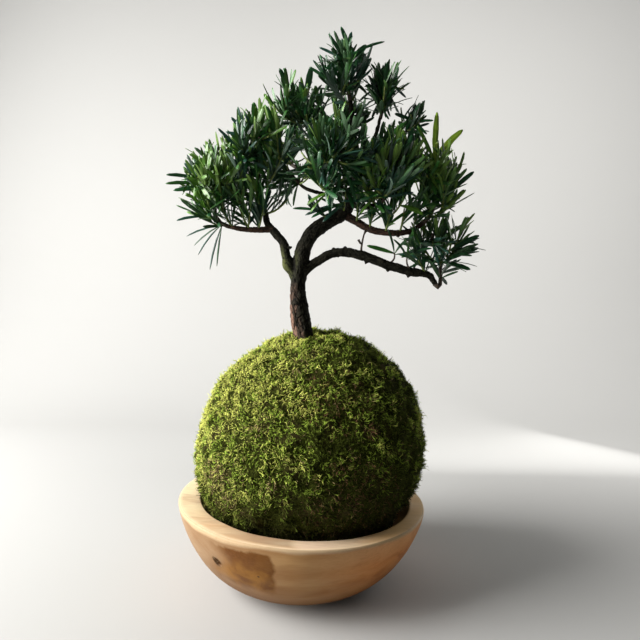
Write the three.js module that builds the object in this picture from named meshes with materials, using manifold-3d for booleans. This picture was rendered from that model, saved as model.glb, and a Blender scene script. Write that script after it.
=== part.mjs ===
// A podocarpus grown as a small tree in a ball of moss, which sits in a carved wooden bowl.
// Millimetres, +Z up, X along the crown's widest way, +Y towards the back.
// The origin is the middle of the bowl's flat foot.

import * as THREE from 'three';
import { mergeVertices } from 'three/addons/utils/BufferGeometryUtils.js';
import Module from 'manifold-3d';

const wasm = await Module();
wasm.setup();

const up = new THREE.Vector3(0, 0, 1);
const goldenAngle = Math.PI * (3 - Math.sqrt(5));
const gap = 0.3; // left between solids that touch on the real plant
const fineness = 0.02; // details under this size are smoothed out of a fused mass

// ---------- Sizes ----------

const bowl = {
  height: 76,
  rimRadius: 120,
  footRadius: 46,
  lipWidth: 18,
  lipRound: 5,
  hollowShift: 3.5, // the hollow is carved off centre, so the lip is thinner on the right
  hollowFloor: 24,
  floorRadius: 42,
  rimTilt: 0.032, // fall of the rim to the right, rise over run
  sides: 32,
};

const ball = {
  radius: 112,
  centre: new THREE.Vector3(7, 0, 130),
  lean: 0.06, // the top stands further right than the middle, by this share of its height
  lump: 1.4,
  detail: 6,
};

// Each limb is a line of [x, y, z, radius], from where it leaves its parent to its tip.
const limbs = {
  trunk: {
    line: [
      [1, -22, 222, 12.5], [0, -22, 236, 11.6], [-4, -20, 258, 9], [-7.5, -18, 286, 8.2],
      [-5.5, -15, 304, 8.9], [-3, -12, 323, 8.2], [6, -8, 338, 8], [21, -3, 349, 7.8],
      [35, 1, 358, 7.2], [45, 4, 374, 6.2], [49, 6, 395, 5], [47, 6, 424, 3.9],
      [44, 4, 450, 3], [41, 2, 470, 2.3],
    ],
    sides: 10,
    flatFoot: 232, // level of the flat cut, just under the moss
    flare: { lobes: 3, depth: 0.16, fade: 16 },
  },
  bough_left: {
    from: 'trunk',
    line: [
      [-8, -17, 290, 4.6], [-18, -15, 310, 4.7], [-22, -13, 325, 4.5], [-30, -11, 335, 4.2],
      [-38, -9, 344, 3.6], [-41, -7, 357, 3], [-45, -6, 372, 2.5],
    ],
  },
  bough_left_reach: {
    from: 'bough_left',
    line: [[-33, -10, 339, 2.8], [-48, -12, 338, 2.7], [-62, -14, 338, 2.5], [-76, -14, 340.5, 2.2]],
  },
  bough_right: {
    from: 'trunk',
    line: [
      [-3, -15, 299, 5.4], [11, -14, 310.5, 5.4], [23, -13, 316.6, 5.3], [37, -12, 317.7, 5.2],
      [54, -11, 315, 5], [77, -10, 307, 4.8], [103, -6, 300.4, 4.4], [123, -2, 297, 3.7],
      [129, 0, 289, 2.8],
    ],
  },
  bough_middle: {
    from: 'trunk',
    line: [
      [36, 2, 358, 3.8], [50, -1, 349, 3.8], [63, -5, 341.5, 3.6], [77, -8, 338, 3.4],
      [92, -8, 338, 3.1], [104, -6, 341, 2.8], [114, -5, 348, 2.4],
    ],
  },
  bough_upper_left: {
    from: 'trunk',
    line: [[49, 6, 400, 3.2], [28, 3, 420, 2.8], [9, 1, 432, 2.2]],
  },
  bough_upper_right: {
    from: 'trunk',
    line: [[48, 6, 415, 2.6], [65, 8, 432, 2.3], [72, 8, 455, 1.9]],
  },
  bough_right_rise: {
    from: 'trunk',
    line: [[49, 6, 396, 3], [73, 17, 417, 2.5], [92, 23, 437, 2]],
  },
  bough_front: {
    from: 'trunk',
    line: [[46, 4, 376, 3.2], [38, -14, 374, 2.8], [30, -31, 376, 2.2]],
  },
  bough_front_right: {
    from: 'trunk',
    line: [[42, 3, 369, 3.2], [56, -11, 362, 2.8], [67, -23, 362, 2.2]],
  },
  bough_inner_left: {
    from: 'trunk',
    line: [[47, 5, 384, 2.8], [25, 12, 378, 2.4], [3, 17, 384, 2]],
  },
  bough_back_left: {
    from: 'trunk',
    line: [[49, 6, 389, 3.2], [20, 27, 398, 2.8], [-12, 50, 416, 2.2]],
  },
  bough_back: {
    from: 'trunk',
    line: [[48, 6, 410, 3], [43, 26, 422, 2.6], [38, 44, 440, 2.1]],
  },
  bough_back_right: {
    from: 'trunk',
    line: [[49, 6, 385, 3.2], [69, 30, 393, 2.8], [87, 50, 408, 2.2]],
  },
};

// Each mass grows from the tip of its limb. Its shoots end on a dome of half-size `spread` round `heart`.
const masses = {
  leaves_far_left: {
    on: 'bough_left_reach', heart: [-87, -10, 386], spread: [32, 27, 28], shoots: 9, seed: 11,
  },
  leaves_left: {
    on: 'bough_left', heart: [-46, -12, 418], spread: [27, 27, 31], shoots: 8, seed: 12,
  },
  leaves_upper_left: {
    on: 'bough_upper_left', heart: [-10, 0, 460], spread: [26, 25, 24], shoots: 7, seed: 13,
  },
  leaves_top: {
    on: 'trunk', heart: [34, 0, 495], spread: [20, 23, 30], shoots: 8, seed: 14,
  },
  leaves_upper_right: {
    on: 'bough_upper_right', heart: [75, 8, 484], spread: [20, 22, 19], shoots: 6, seed: 15,
  },
  leaves_right_rise: {
    on: 'bough_right_rise', heart: [108, 26, 460], spread: [20, 22, 17], shoots: 5, seed: 16,
  },
  leaves_front: {
    on: 'bough_front', heart: [24, -50, 396], spread: [30, 22, 35], shoots: 8, seed: 17,
  },
  leaves_front_right: {
    on: 'bough_front_right', heart: [76, -37, 386], spread: [28, 22, 33], shoots: 8, seed: 18,
  },
  leaves_right: {
    on: 'bough_middle', heart: [124, -5, 398], spread: [25, 25, 33], shoots: 8, seed: 19,
  },
  leaves_low_right: {
    on: 'bough_right', heart: [132, 4, 329], spread: [27, 23, 18], shoots: 6, seed: 20,
  },
  leaves_inner_left: {
    on: 'bough_inner_left', heart: [-16, 19, 400], spread: [22, 20, 22], shoots: 5, seed: 21,
  },
  leaves_back_left: {
    on: 'bough_back_left', heart: [-34, 66, 436], spread: [28, 26, 26], shoots: 5, seed: 22,
  },
  leaves_back: {
    on: 'bough_back', heart: [34, 62, 466], spread: [26, 24, 26], shoots: 5, seed: 23,
  },
  leaves_back_right: {
    on: 'bough_back_right', heart: [99, 68, 427], spread: [28, 26, 26], shoots: 5, seed: 24,
  },
};

const crownHeart = new THREE.Vector3(35, 5, 380); // shoots lean away from here
const dome = { top: 1, foot: -0.55, near: 0.85, far: 1.1 };
const stem = { bend: 0.45, steps: 4, tipRadius: 1.9, forks: [0.33, 0.6, 0.83, 0.97] };
const twig = { footRadius: 1.5, tipRadius: 1, shortest: 8, clear: 2, forks: [0.37, 0.68] };
const leaf = {
  length: 30,
  halfWidth: 3.7,
  rootHalfWidth: 3.4,
  halfThick: 0.5,
  droop: 0.1,
  perShoot: 5,
  sunk: 2.3, // how far below the twig's tip the last leaf is rooted
  leafy: 22, // length of twig that carries them
  lowAngle: 1.15, // from the twig, at the foot of the leafy length
  topAngle: 0.3,
  clear: 0.5,
  attempts: 3,
  turn: 1.9, // from one attempt to the next, round the twig
};

// ---------- Making solids ----------

function moved(geometry, place) {
  geometry.deleteAttribute('normal');
  geometry.deleteAttribute('uv');
  const merged = mergeVertices(geometry, 1e-4);
  const spots = merged.getAttribute('position');
  for (let i = 0; i < spots.count; i++) {
    const to = place(new THREE.Vector3().fromBufferAttribute(spots, i));
    spots.setXYZ(i, to.x, to.y, to.z);
  }
  return merged;
}

function solidOf(geometry) {
  const vertProperties = geometry.getAttribute('position').array;
  const triVerts = new Uint32Array(geometry.index.array);
  return new wasm.Manifold(new wasm.Mesh({ numProp: 3, vertProperties, triVerts }));
}

function geometryOf(solid) {
  const { vertProperties, triVerts } = solid.getMesh();
  const geometry = new THREE.BufferGeometry();
  geometry.setAttribute('position', new THREE.BufferAttribute(vertProperties, 3));
  geometry.setIndex(new THREE.BufferAttribute(triVerts, 1));
  return geometry;
}

// Bends an upright cylinder or cone of unit size along a path. girthAt gives its half-sizes, across and up.
function bent(geometry, path, side, girthAt) {
  return moved(geometry, (spot) => {
    const t = spot.y + 0.5;
    const along = path.getTangent(t);
    const across = side.clone().addScaledVector(along, -side.dot(along)).normalize();
    const over = across.clone().cross(along);
    const [halfAcross, halfOver] = girthAt(t, Math.atan2(spot.z, spot.x));
    return path.getPoint(t)
      .addScaledVector(across, spot.x * halfAcross)
      .addScaledVector(over, spot.z * halfOver);
  });
}

// The world axis that a path runs along least, which stays clear of its direction all the way.
function sideOf(path) {
  const run = path.getPoint(1).sub(path.getPoint(0));
  return Math.abs(run.y) < Math.abs(run.x) ? new THREE.Vector3(0, 1, 0) : new THREE.Vector3(1, 0, 0);
}

// ---------- Limbs ----------

const lineOf = (limb) => new THREE.CatmullRomCurve3(limb.line.map(([x, y, z]) => new THREE.Vector3(x, y, z)));

function radiusAlong(limb, t) {
  const place = t * (limb.line.length - 1);
  const before = Math.min(Math.floor(place), limb.line.length - 2);
  return THREE.MathUtils.lerp(limb.line[before][3], limb.line[before + 1][3], place - before);
}

// Roots swell the foot of the trunk into a few lobes that fade upwards.
function flareAt(limb, height, angle) {
  const { lobes, depth, fade } = limb.flare;
  return 1 + depth * Math.exp(-Math.max(0, height) / fade) * (1 + Math.cos(lobes * angle));
}

function limbSolid(limb, extra = 0) {
  const path = lineOf(limb);
  const spans = limb.line.length - 1;
  const shaft = new THREE.CylinderGeometry(1, 1, 1, limb.sides ?? 6, spans * 2);
  const geometry = bent(shaft, path, sideOf(path), (t, angle) => {
    const height = path.getPoint(t).z - limb.flatFoot;
    const radius = (radiusAlong(limb, t) + extra) * (limb.flare ? flareAt(limb, height, angle) : 1);
    return [radius, radius];
  });
  const whole = solidOf(geometry);
  return limb.flatFoot ? whole.subtract(below(limb.flatFoot - extra)) : whole;
}

// Everything within reach of the trunk's foot that lies under a level.
function below(level) {
  const size = 80;
  return solidOf(moved(new THREE.BoxGeometry(size, size, size), (spot) => spot.setZ(spot.z + level - size / 2)
    .setY(spot.y + limbs.trunk.line[0][1])));
}

const limbSolids = {};
for (const [name, limb] of Object.entries(limbs)) {
  const parent = limbs[limb.from];
  limbSolids[name] = parent ? limbSolid(limb).subtract(limbSolid(parent, gap)) : limbSolid(limb);
}

// ---------- Masses of leaves ----------

function seeded(seed) {
  let state = seed;
  return () => {
    state = (state * 16807) % 2147483647;
    return state / 2147483647;
  };
}

const hearts = Object.entries(masses).map(([name, mass]) => ({
  name,
  centre: new THREE.Vector3(...mass.heart),
  size: (mass.spread[0] + mass.spread[1] + mass.spread[2]) / 3,
}));

// A mass keeps to the space that is nearer to its own heart than to any other. A big mass is given more.
function inOwnSpace(name, spot, reach) {
  const own = hearts.find((heart) => heart.name === name);
  const power = (heart) => spot.distanceToSquared(heart.centre) - heart.size ** 2;
  return hearts.every((other) => {
    if (other === own) return true;
    return (power(other) - power(own)) / (2 * own.centre.distanceTo(other.centre)) > reach;
  });
}

const tipRadiusOf = (mass) => limbs[mass.on].line.at(-1)[3];

// The stem of a mass runs on from the tip of its limb and turns up to the heart.
function stemOf(mass) {
  const limb = lineOf(limbs[mass.on]);
  const onward = limb.getTangent(1);
  const foot = limb.getPoint(1).addScaledVector(onward, gap);
  const heart = new THREE.Vector3(...mass.heart);
  const bend = foot.clone().addScaledVector(onward, foot.distanceTo(heart) * stem.bend);
  return new THREE.QuadraticBezierCurve3(foot, bend, heart);
}

// Balls strung along all the limbs and stems, which say how near a leaf may come.
function beadsAlong(path, radiusAt, mass) {
  const count = Math.ceil(path.getLength() / 2);
  return Array.from({ length: count + 1 }, (_, i) => ({
    centre: path.getPoint(i / count), radius: radiusAt(i / count), mass,
  }));
}

const beads = [
  ...Object.values(limbs).flatMap((limb) => beadsAlong(lineOf(limb), (t) => radiusAlong(limb, t))),
  ...Object.entries(masses)
    .flatMap(([name, mass]) => beadsAlong(stemOf(mass), () => tipRadiusOf(mass), name)),
];

function clearOfWood(name, spot, reach) {
  return beads.every((bead) => bead.mass === name || spot.distanceTo(bead.centre) > bead.radius + reach);
}

// The twigs of a mass. Each starts from the nearest wood already grown.
function twigsOf(name, mass) {
  const random = seeded(mass.seed);
  const heart = new THREE.Vector3(...mass.heart);
  const main = stemOf(mass);
  const wood = stem.forks.map((t) => main.getPoint(t));
  const pole = heart.clone().sub(crownHeart).normalize().multiplyScalar(0.8).add(up).normalize();
  const turn = new THREE.Quaternion().setFromUnitVectors(up, pole);
  const twigs = [];
  for (let i = 0; i < mass.shoots; i++) {
    const height = THREE.MathUtils.lerp(dome.top, dome.foot, (i + 0.5) / mass.shoots);
    const ring = Math.sqrt(1 - height * height);
    const angle = i * goldenAngle + mass.seed;
    const size = THREE.MathUtils.lerp(dome.near, dome.far, random());
    const tip = new THREE.Vector3(ring * Math.cos(angle), ring * Math.sin(angle), height)
      .applyQuaternion(turn)
      .multiply(new THREE.Vector3(...mass.spread))
      .multiplyScalar(size)
      .add(heart);
    const start = wood.reduce((best, spot) => (spot.distanceTo(tip) < best.distanceTo(tip) ? spot : best));
    const length = start.distanceTo(tip);
    const path = new THREE.LineCurve3(start, tip);
    const free = path.getPoints(6).slice(1)
      .every((spot) => inOwnSpace(name, spot, twig.clear) && clearOfWood(name, spot, twig.clear));
    if (length < twig.shortest || !free) continue;
    twigs.push(path);
    wood.push(...twig.forks.map((t) => path.getPoint(t)));
  }
  return twigs;
}

function woodSolid(path, footRadius, tipRadius, steps) {
  const rod = new THREE.CylinderGeometry(1, 1, 1, 3, steps);
  return solidOf(bent(rod, path, sideOf(path), (t) => {
    const radius = THREE.MathUtils.lerp(footRadius, tipRadius, t);
    return [radius, radius];
  }));
}

// A strap with a ridge along it: narrow at the root, widest past the middle, pointed at the tip.
function leafGeometry(path, across) {
  const blade = new THREE.SphereGeometry(1, 3, 3).scale(1, 0.5, 1);
  return bent(blade, path, across, (t) => [t < 0.5 ? leaf.rootHalfWidth : leaf.halfWidth, leaf.halfThick]);
}

// One leaf's path: it leaves the twig at an angle and sags back a little towards its tip.
function leafPath(root, along, turn, open, length) {
  const sideways = new THREE.Vector3(0, 1, 0).cross(along).normalize();
  const direction = sideways.applyAxisAngle(along, turn).multiplyScalar(Math.sin(open))
    .addScaledVector(along, Math.cos(open));
  const across = direction.clone().cross(along).normalize();
  const over = across.clone().cross(direction);
  const tip = root.clone().addScaledVector(direction, length);
  const middle = root.clone().lerp(tip, 0.6).addScaledVector(over, length * leaf.droop);
  return { path: new THREE.QuadraticBezierCurve3(root, middle, tip), across };
}

// Leaves climb the end of a twig in a spiral, and close in on it towards its tip. A leaf that isn't free
// is tried further round the twig, and skipped if it is free nowhere.
function leavesOf(name, twigPath, random) {
  const length = twigPath.getLength();
  const leafy = Math.min(leaf.leafy, length * 0.8);
  const along = twigPath.getTangent(1);
  const leaves = [];
  for (let i = 0; i < leaf.perShoot; i++) {
    const share = i / (leaf.perShoot - 1);
    const root = twigPath.getPoint(1 - THREE.MathUtils.lerp(leafy, leaf.sunk, share) / length);
    const open = THREE.MathUtils.lerp(leaf.lowAngle, leaf.topAngle, share) + (random() - 0.5) * 0.2;
    const long = leaf.length * (0.85 + 0.3 * random());
    for (let attempt = 0; attempt < leaf.attempts; attempt++) {
      const turn = i * goldenAngle + attempt * leaf.turn;
      const { path, across } = leafPath(root, along, turn, open, long);
      const geometry = leafGeometry(path, across);
      if (leafIsFree(name, geometry, path)) {
        leaves.push(solidOf(geometry));
        break;
      }
    }
  }
  return leaves;
}

function leafIsFree(name, geometry, blade) {
  const corners = geometry.getAttribute('position');
  for (let i = 0; i < corners.count; i++) {
    if (!inOwnSpace(name, new THREE.Vector3().fromBufferAttribute(corners, i), leaf.clear)) return false;
  }
  return blade.getPoints(8).every((spot) => clearOfWood(name, spot, leaf.halfWidth + leaf.clear));
}

// The fused mass, with the hollows that fusing seals filled and any loose scrap dropped.
function massSolid(name, mass) {
  const random = seeded(mass.seed * 7);
  const pieces = [woodSolid(stemOf(mass), tipRadiusOf(mass), stem.tipRadius, stem.steps)];
  for (const path of twigsOf(name, mass)) {
    const footRadius = twig.footRadius * (1 + 0.3 * random());
    pieces.push(woodSolid(path, footRadius, twig.tipRadius, 1), ...leavesOf(name, path, random));
  }
  const shells = wasm.Manifold.union(pieces).simplify(fineness).decompose();
  return shells.reduce((best, shell) => (shell.volume() > best.volume() ? shell : best));
}

// ---------- Moss ball and bowl ----------

function ballSolid() {
  const round = new THREE.IcosahedronGeometry(1, ball.detail);
  const floor = bowl.hollowFloor + gap;
  const geometry = moved(round, (spot) => {
    const { x, y, z } = spot.normalize();
    const lumps = Math.sin(5 * x + 2) * Math.cos(4 * y) + Math.sin(6 * z + 3 * x) * Math.cos(5 * y + 1);
    spot.multiplyScalar(ball.radius + ball.lump * lumps);
    spot.x += ball.lean * spot.z;
    spot.add(ball.centre);
    return spot.setZ(Math.max(spot.z, floor));
  });
  return solidOf(geometry).subtract(limbSolid(limbs.trunk, gap));
}

// The wall of a carved bowl swells out from the foot and stands nearly upright at the rim.
function bowlSolid() {
  const { height, rimRadius, footRadius, lipWidth, lipRound, hollowFloor, floorRadius } = bowl;
  const profile = [new THREE.Vector2(0, 0), new THREE.Vector2(footRadius, 0)];
  const wallSteps = 6;
  for (let i = 1; i <= wallSteps; i++) {
    const turn = (i / wallSteps) * (Math.PI / 2);
    profile.push(new THREE.Vector2(
      footRadius + (rimRadius - footRadius) * Math.sin(turn) ** 0.9,
      (height - lipRound) * (1 - Math.cos(turn) ** 1.5),
    ));
  }
  profile.push(new THREE.Vector2(rimRadius - 0.3 * lipRound, height - 0.3 * lipRound));
  profile.push(new THREE.Vector2(rimRadius - lipRound, height));
  const hollowRadius = rimRadius - lipWidth;
  profile.push(new THREE.Vector2(hollowRadius + 2, height - 0.5));
  const hollowSteps = 5;
  for (let i = 0; i < hollowSteps; i++) {
    const turn = (i / hollowSteps) * (Math.PI / 2);
    profile.push(new THREE.Vector2(
      floorRadius + (hollowRadius - floorRadius) * Math.cos(turn) ** 0.8,
      hollowFloor + (height - 2 - hollowFloor) * (1 - Math.sin(turn) ** 1.3),
    ));
  }
  profile.push(new THREE.Vector2(floorRadius, hollowFloor), new THREE.Vector2(0, hollowFloor));
  const turned = new THREE.LatheGeometry(profile, bowl.sides).rotateX(Math.PI / 2);
  const outerSpots = 2 + wallSteps + 2;
  const inner = new Set(profile.slice(outerSpots).map((spot) => spot.y.toFixed(3)));
  return solidOf(moved(turned, (spot) => {
    const radius = Math.hypot(spot.x, spot.y);
    const hollow = radius <= hollowRadius + 2.5 && inner.has(spot.z.toFixed(3));
    if (hollow) spot.x += bowl.hollowShift * (radius / hollowRadius);
    return spot.setZ(spot.z - bowl.rimTilt * spot.x * (spot.z / height) ** 2);
  }));
}

// ---------- The plant ----------

const finishes = {
  wood: new THREE.MeshStandardMaterial({ color: 0xd6b588, roughness: 0.6, metalness: 0 }),
  moss: new THREE.MeshStandardMaterial({ color: 0x55682a, roughness: 0.95, metalness: 0 }),
  bark: new THREE.MeshStandardMaterial({ color: 0x4a3b30, roughness: 0.85, metalness: 0 }),
  redBark: new THREE.MeshStandardMaterial({ color: 0x6b4237, roughness: 0.8, metalness: 0 }),
  leaves: new THREE.MeshStandardMaterial({ color: 0x1f3d22, roughness: 0.4, metalness: 0 }),
};

const plant = new THREE.Group();

function addNode(name, solid, finish) {
  const mesh = new THREE.Mesh(geometryOf(solid), finish);
  mesh.name = name;
  plant.add(mesh);
}

addNode('bowl', bowlSolid(), finishes.wood);
addNode('moss_ball', ballSolid(), finishes.moss);
for (const [name, solid] of Object.entries(limbSolids)) {
  const young = name === 'bough_left_reach' || name === 'bough_middle';
  addNode(name, solid, young ? finishes.redBark : finishes.bark);
}
for (const [name, mass] of Object.entries(masses)) addNode(name, massSolid(name, mass), finishes.leaves);

export default plant;
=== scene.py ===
# A podocarpus grown as a small tree in a ball of moss, which sits in a carved wooden bowl.
# Metres, +Z up, X along the crown's widest way, +Y towards the back, origin under the bowl's foot.

import math

import bmesh
import bpy
import numpy as np
from mathutils import Euler, Matrix, Vector, noise
from mathutils.kdtree import KDTree


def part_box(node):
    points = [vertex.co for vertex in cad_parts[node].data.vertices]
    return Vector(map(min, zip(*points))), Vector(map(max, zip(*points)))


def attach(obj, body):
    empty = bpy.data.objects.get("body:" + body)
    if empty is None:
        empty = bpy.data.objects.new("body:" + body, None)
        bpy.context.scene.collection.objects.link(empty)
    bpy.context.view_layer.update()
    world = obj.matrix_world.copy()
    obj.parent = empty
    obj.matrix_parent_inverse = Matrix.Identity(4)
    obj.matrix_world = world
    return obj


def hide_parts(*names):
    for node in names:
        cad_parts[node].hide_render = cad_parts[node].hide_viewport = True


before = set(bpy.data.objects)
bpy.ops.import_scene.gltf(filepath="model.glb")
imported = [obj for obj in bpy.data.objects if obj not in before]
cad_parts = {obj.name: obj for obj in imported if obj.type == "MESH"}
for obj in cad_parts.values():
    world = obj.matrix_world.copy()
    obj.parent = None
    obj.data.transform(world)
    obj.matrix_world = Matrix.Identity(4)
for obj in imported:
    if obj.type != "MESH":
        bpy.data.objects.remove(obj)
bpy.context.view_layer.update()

goldenAngle = math.pi * (3 - math.sqrt(5))
trianglesAPiece = 190000
up = np.array([0.0, 0.0, 1.0])


# Numbers from 0 to 1 that come out the same each time.
def seeded(seed):
    state = seed

    def draw():
        nonlocal state
        state = state * 16807 % 2147483647
        return state / 2147483647

    return draw


def lerp(start, end, share):
    return start + (end - start) * share


def unit(vectors):
    vectors = np.asarray(vectors, float)
    return vectors / np.maximum(np.linalg.norm(vectors, axis=-1, keepdims=True), 1e-9)


# A smooth line through points, the centripetal kind, as a function of the share along it.
def smoothPath(points):
    inner = np.array(points, float)
    knots = np.vstack([2 * inner[0] - inner[1], inner, 2 * inner[-1] - inner[-2]])
    spans = len(inner) - 1

    def at(shares):
        place = np.clip(np.atleast_1d(shares), 0, 1) * spans
        before = np.minimum(place.astype(int), spans - 1)
        w = (place - before)[:, None]
        p0, p1, p2, p3 = (knots[before + i] for i in range(4))
        pairs = ((p0, p1), (p1, p2), (p2, p3))
        d0, d1, d2 = (np.linalg.norm(b - a, axis=1)[:, None] ** 0.5 for a, b in pairs)
        leave = ((p1 - p0) / d0 - (p2 - p0) / (d0 + d1) + (p2 - p1) / d1) * d1
        arrive = ((p2 - p1) / d1 - (p3 - p1) / (d1 + d2) + (p3 - p2) / d2) * d1
        bend = (-3 * p1 + 3 * p2 - 2 * leave - arrive) * w**2
        return p1 + leave * w + bend + (2 * p1 - 2 * p2 + leave + arrive) * w**3

    return at


# A curve from foot to tip that heads for the bend point first.
def bentPath(foot, bend, tip):
    foot, bend, tip = (np.asarray(spot, float) for spot in (foot, bend, tip))

    def at(shares):
        w = np.atleast_1d(shares)[:, None]
        return foot * (1 - w) ** 2 + bend * 2 * w * (1 - w) + tip * w**2

    return at


def headingAt(path, shares):
    shares = np.atleast_1d(shares)
    return unit(path(np.minimum(shares + 1e-4, 1)) - path(np.maximum(shares - 1e-4, 0)))


def lengthOf(path, steps=60):
    return np.linalg.norm(np.diff(path(np.linspace(0, 1, steps)), axis=0), axis=1).sum()


# Shares along a path that lie at most a step apart.
def evenShares(path, step):
    return np.linspace(0, 1, math.ceil(lengthOf(path) / step) + 1)


# The height over a place of a broken line given by its (place, height) points.
def onLine(place, points):
    return np.interp(place, *zip(*points))


# A cloudy number from about -1 to 1 for each spot.
def cloudAt(spots, scale):
    return np.array([noise.noise(Vector(spot) * scale) for spot in spots])


# Makes an object from a mesh, which rides on the body and stands for the nodes named.
def finishPiece(name, mesh, materials, nodes, smooth=True):
    piece = bpy.data.objects.new(name, mesh)
    bpy.context.scene.collection.objects.link(piece)
    for material in materials:
        mesh.materials.append(material)
    if smooth:
        mesh.shade_smooth()
    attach(piece, "root")
    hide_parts(*nodes)
    return piece


def meshOf(bm, name):
    mesh = bpy.data.meshes.new(name)
    bm.to_mesh(mesh)
    bm.free()
    return mesh


# Material nodes. A new material comes with its shader and a function that adds nodes to it.
def newMaterial(name, colour, roughness, **sockets):
    material = bpy.data.materials.new(name)
    material.use_nodes = True
    tree = material.node_tree
    shader = tree.nodes["Principled BSDF"]
    shader.inputs["Base Color"].default_value = (*colour, 1)
    shader.inputs["Roughness"].default_value = roughness
    for socket, value in sockets.items():
        shader.inputs[socket.replace("_", " ")].default_value = value

    def add(kind, inputs=None, **settings):
        node = tree.nodes.new("ShaderNode" + kind)
        for setting, value in settings.items():
            setattr(node, setting, value)
        for socket, value in (inputs or {}).items():
            if isinstance(value, bpy.types.NodeSocket):
                tree.links.new(value, node.inputs[socket])
            else:
                node.inputs[socket].default_value = value
        return node

    def feed(socket, source):
        tree.links.new(source, shader.inputs[socket])

    return material, add, feed


# The spot on the object, moved and stretched, for a pattern to be laid on.
def placed(add, stretch=(1, 1, 1), turn=(0, 0, 0), centre=(0, 0, 0)):
    spot = add("TexCoord").outputs["Object"]
    return add("Mapping", {"Vector": spot, "Scale": stretch, "Rotation": turn, "Location": centre}).outputs[0]


def cloudy(add, place, scale, detail=3.0, roughness=0.55, distortion=0.0):
    inputs = {"Vector": place, "Scale": scale, "Detail": detail, "Roughness": roughness,
              "Distortion": distortion}
    return add("TexNoise", inputs).outputs[0]


def ranged(add, value, low, high, toLow=0.0, toHigh=1.0):
    inputs = {"Value": value, "From Min": low, "From Max": high, "To Min": toLow, "To Max": toHigh}
    return add("MapRange", inputs).outputs[0]


def worked(add, operation, first, *others):
    for other in others:
        first = add("Math", {0: first, 1: other}, operation=operation).outputs[0]
    return first


# A share that fades in over one stretch of a value and out again over another.
def within(add, value, fadeIn, fadeOut, share=1.0):
    rising = ranged(add, value, *fadeIn, 0.0, share)
    return worked(add, "MULTIPLY", rising, ranged(add, value, *fadeOut, 1.0, 0.0))


def tinted(add, share, first, second, mode="MIX"):
    first, second = ((*c, 1) if isinstance(c, tuple) else c for c in (first, second))
    return add("Mix", {0: share, 6: first, 7: second}, data_type="RGBA", blend_type=mode).outputs[2]


def bumped(add, height, depth, strength=1.0):
    return add("Bump", {"Height": height, "Distance": depth, "Strength": strength}).outputs[0]


# Copies of a template bent along curves. The template's x runs across, y over and z from 0 to 1 along.
# Each curve has a foot, a bend point and a tip; wide and thick are half-sizes.
def bentCopies(template, foot, bend, tip, across, wide, thick, twist=0.0):
    x, y, t = template.T
    weights = ((1 - t) ** 2, 2 * t * (1 - t), t**2)
    centre = sum(w[None, :, None] * spot[:, None] for w, spot in zip(weights, (foot, bend, tip)))
    along = unit((1 - t)[None, :, None] * (bend - foot)[:, None] + t[None, :, None] * (tip - bend)[:, None])
    side = unit(across[:, None] - along * (along * across[:, None]).sum(-1, keepdims=True))
    over = np.cross(along, side)
    turn = np.reshape(twist, (-1, 1)) * t
    cos, sin = np.cos(turn)[..., None], np.sin(turn)[..., None]
    side, over = side * cos + over * sin, over * cos - side * sin
    return centre + side * (x[None] * wide)[..., None] + over * (y[None] * thick)[..., None]


# A rod with closed ends, cut across at the shares given, as vertices and faces. The tip may be a point.
def rodTemplate(sides, cuts, shape, tipRadius=1):
    bm = bmesh.new()
    bmesh.ops.create_cone(bm, cap_ends=True, cap_tris=tipRadius > 0, segments=sides, radius1=1,
                          radius2=tipRadius, depth=1, matrix=Matrix.Translation((0, 0, 0.5)))
    for cut in cuts:
        everything = bm.verts[:] + bm.edges[:] + bm.faces[:]
        bmesh.ops.bisect_plane(bm, geom=everything, plane_co=(0, 0, cut), plane_no=(0, 0, 1))
    for vert in bm.verts:
        vert.co = shape(vert.co)
    bm.verts.index_update()
    spots = np.array([vert.co[:] for vert in bm.verts])
    faces = [tuple(vert.index for vert in face.verts) for face in bm.faces]
    bm.free()
    return spots, faces


# Shares out rows among pieces that stay under the triangle limit, as (name of piece, its rows).
def inPieces(name, rows, faces):
    most = trianglesAPiece // sum(len(face) - 2 for face in faces)
    count = max(1, math.ceil(len(rows) / most))
    size = math.ceil(len(rows) / count)
    return [(name + str(i + 1), rows[i * size:(i + 1) * size]) for i in range(count)]


# One mesh of many copies of a template. Each row of copies holds the spots of one copy.
def joinedMesh(name, copies, faces):
    count, size, _ = copies.shape
    offsets = np.arange(count)[:, None] * size
    corners = np.concatenate([np.array(face) for face in faces])
    sizes = np.array([len(face) for face in faces])
    mesh = bpy.data.meshes.new(name)
    mesh.vertices.add(count * size)
    mesh.vertices.foreach_set("co", copies.reshape(-1).astype(np.float32))
    mesh.loops.add(count * len(corners))
    mesh.loops.foreach_set("vertex_index", (offsets + corners[None]).reshape(-1).astype(np.int32))
    mesh.polygons.add(count * len(sizes))
    starts = np.concatenate([[0], np.cumsum(np.tile(sizes, count))[:-1]])
    mesh.polygons.foreach_set("loop_start", starts.astype(np.int32))
    mesh.update(calc_edges=True)
    mesh.validate()
    return mesh


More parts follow.
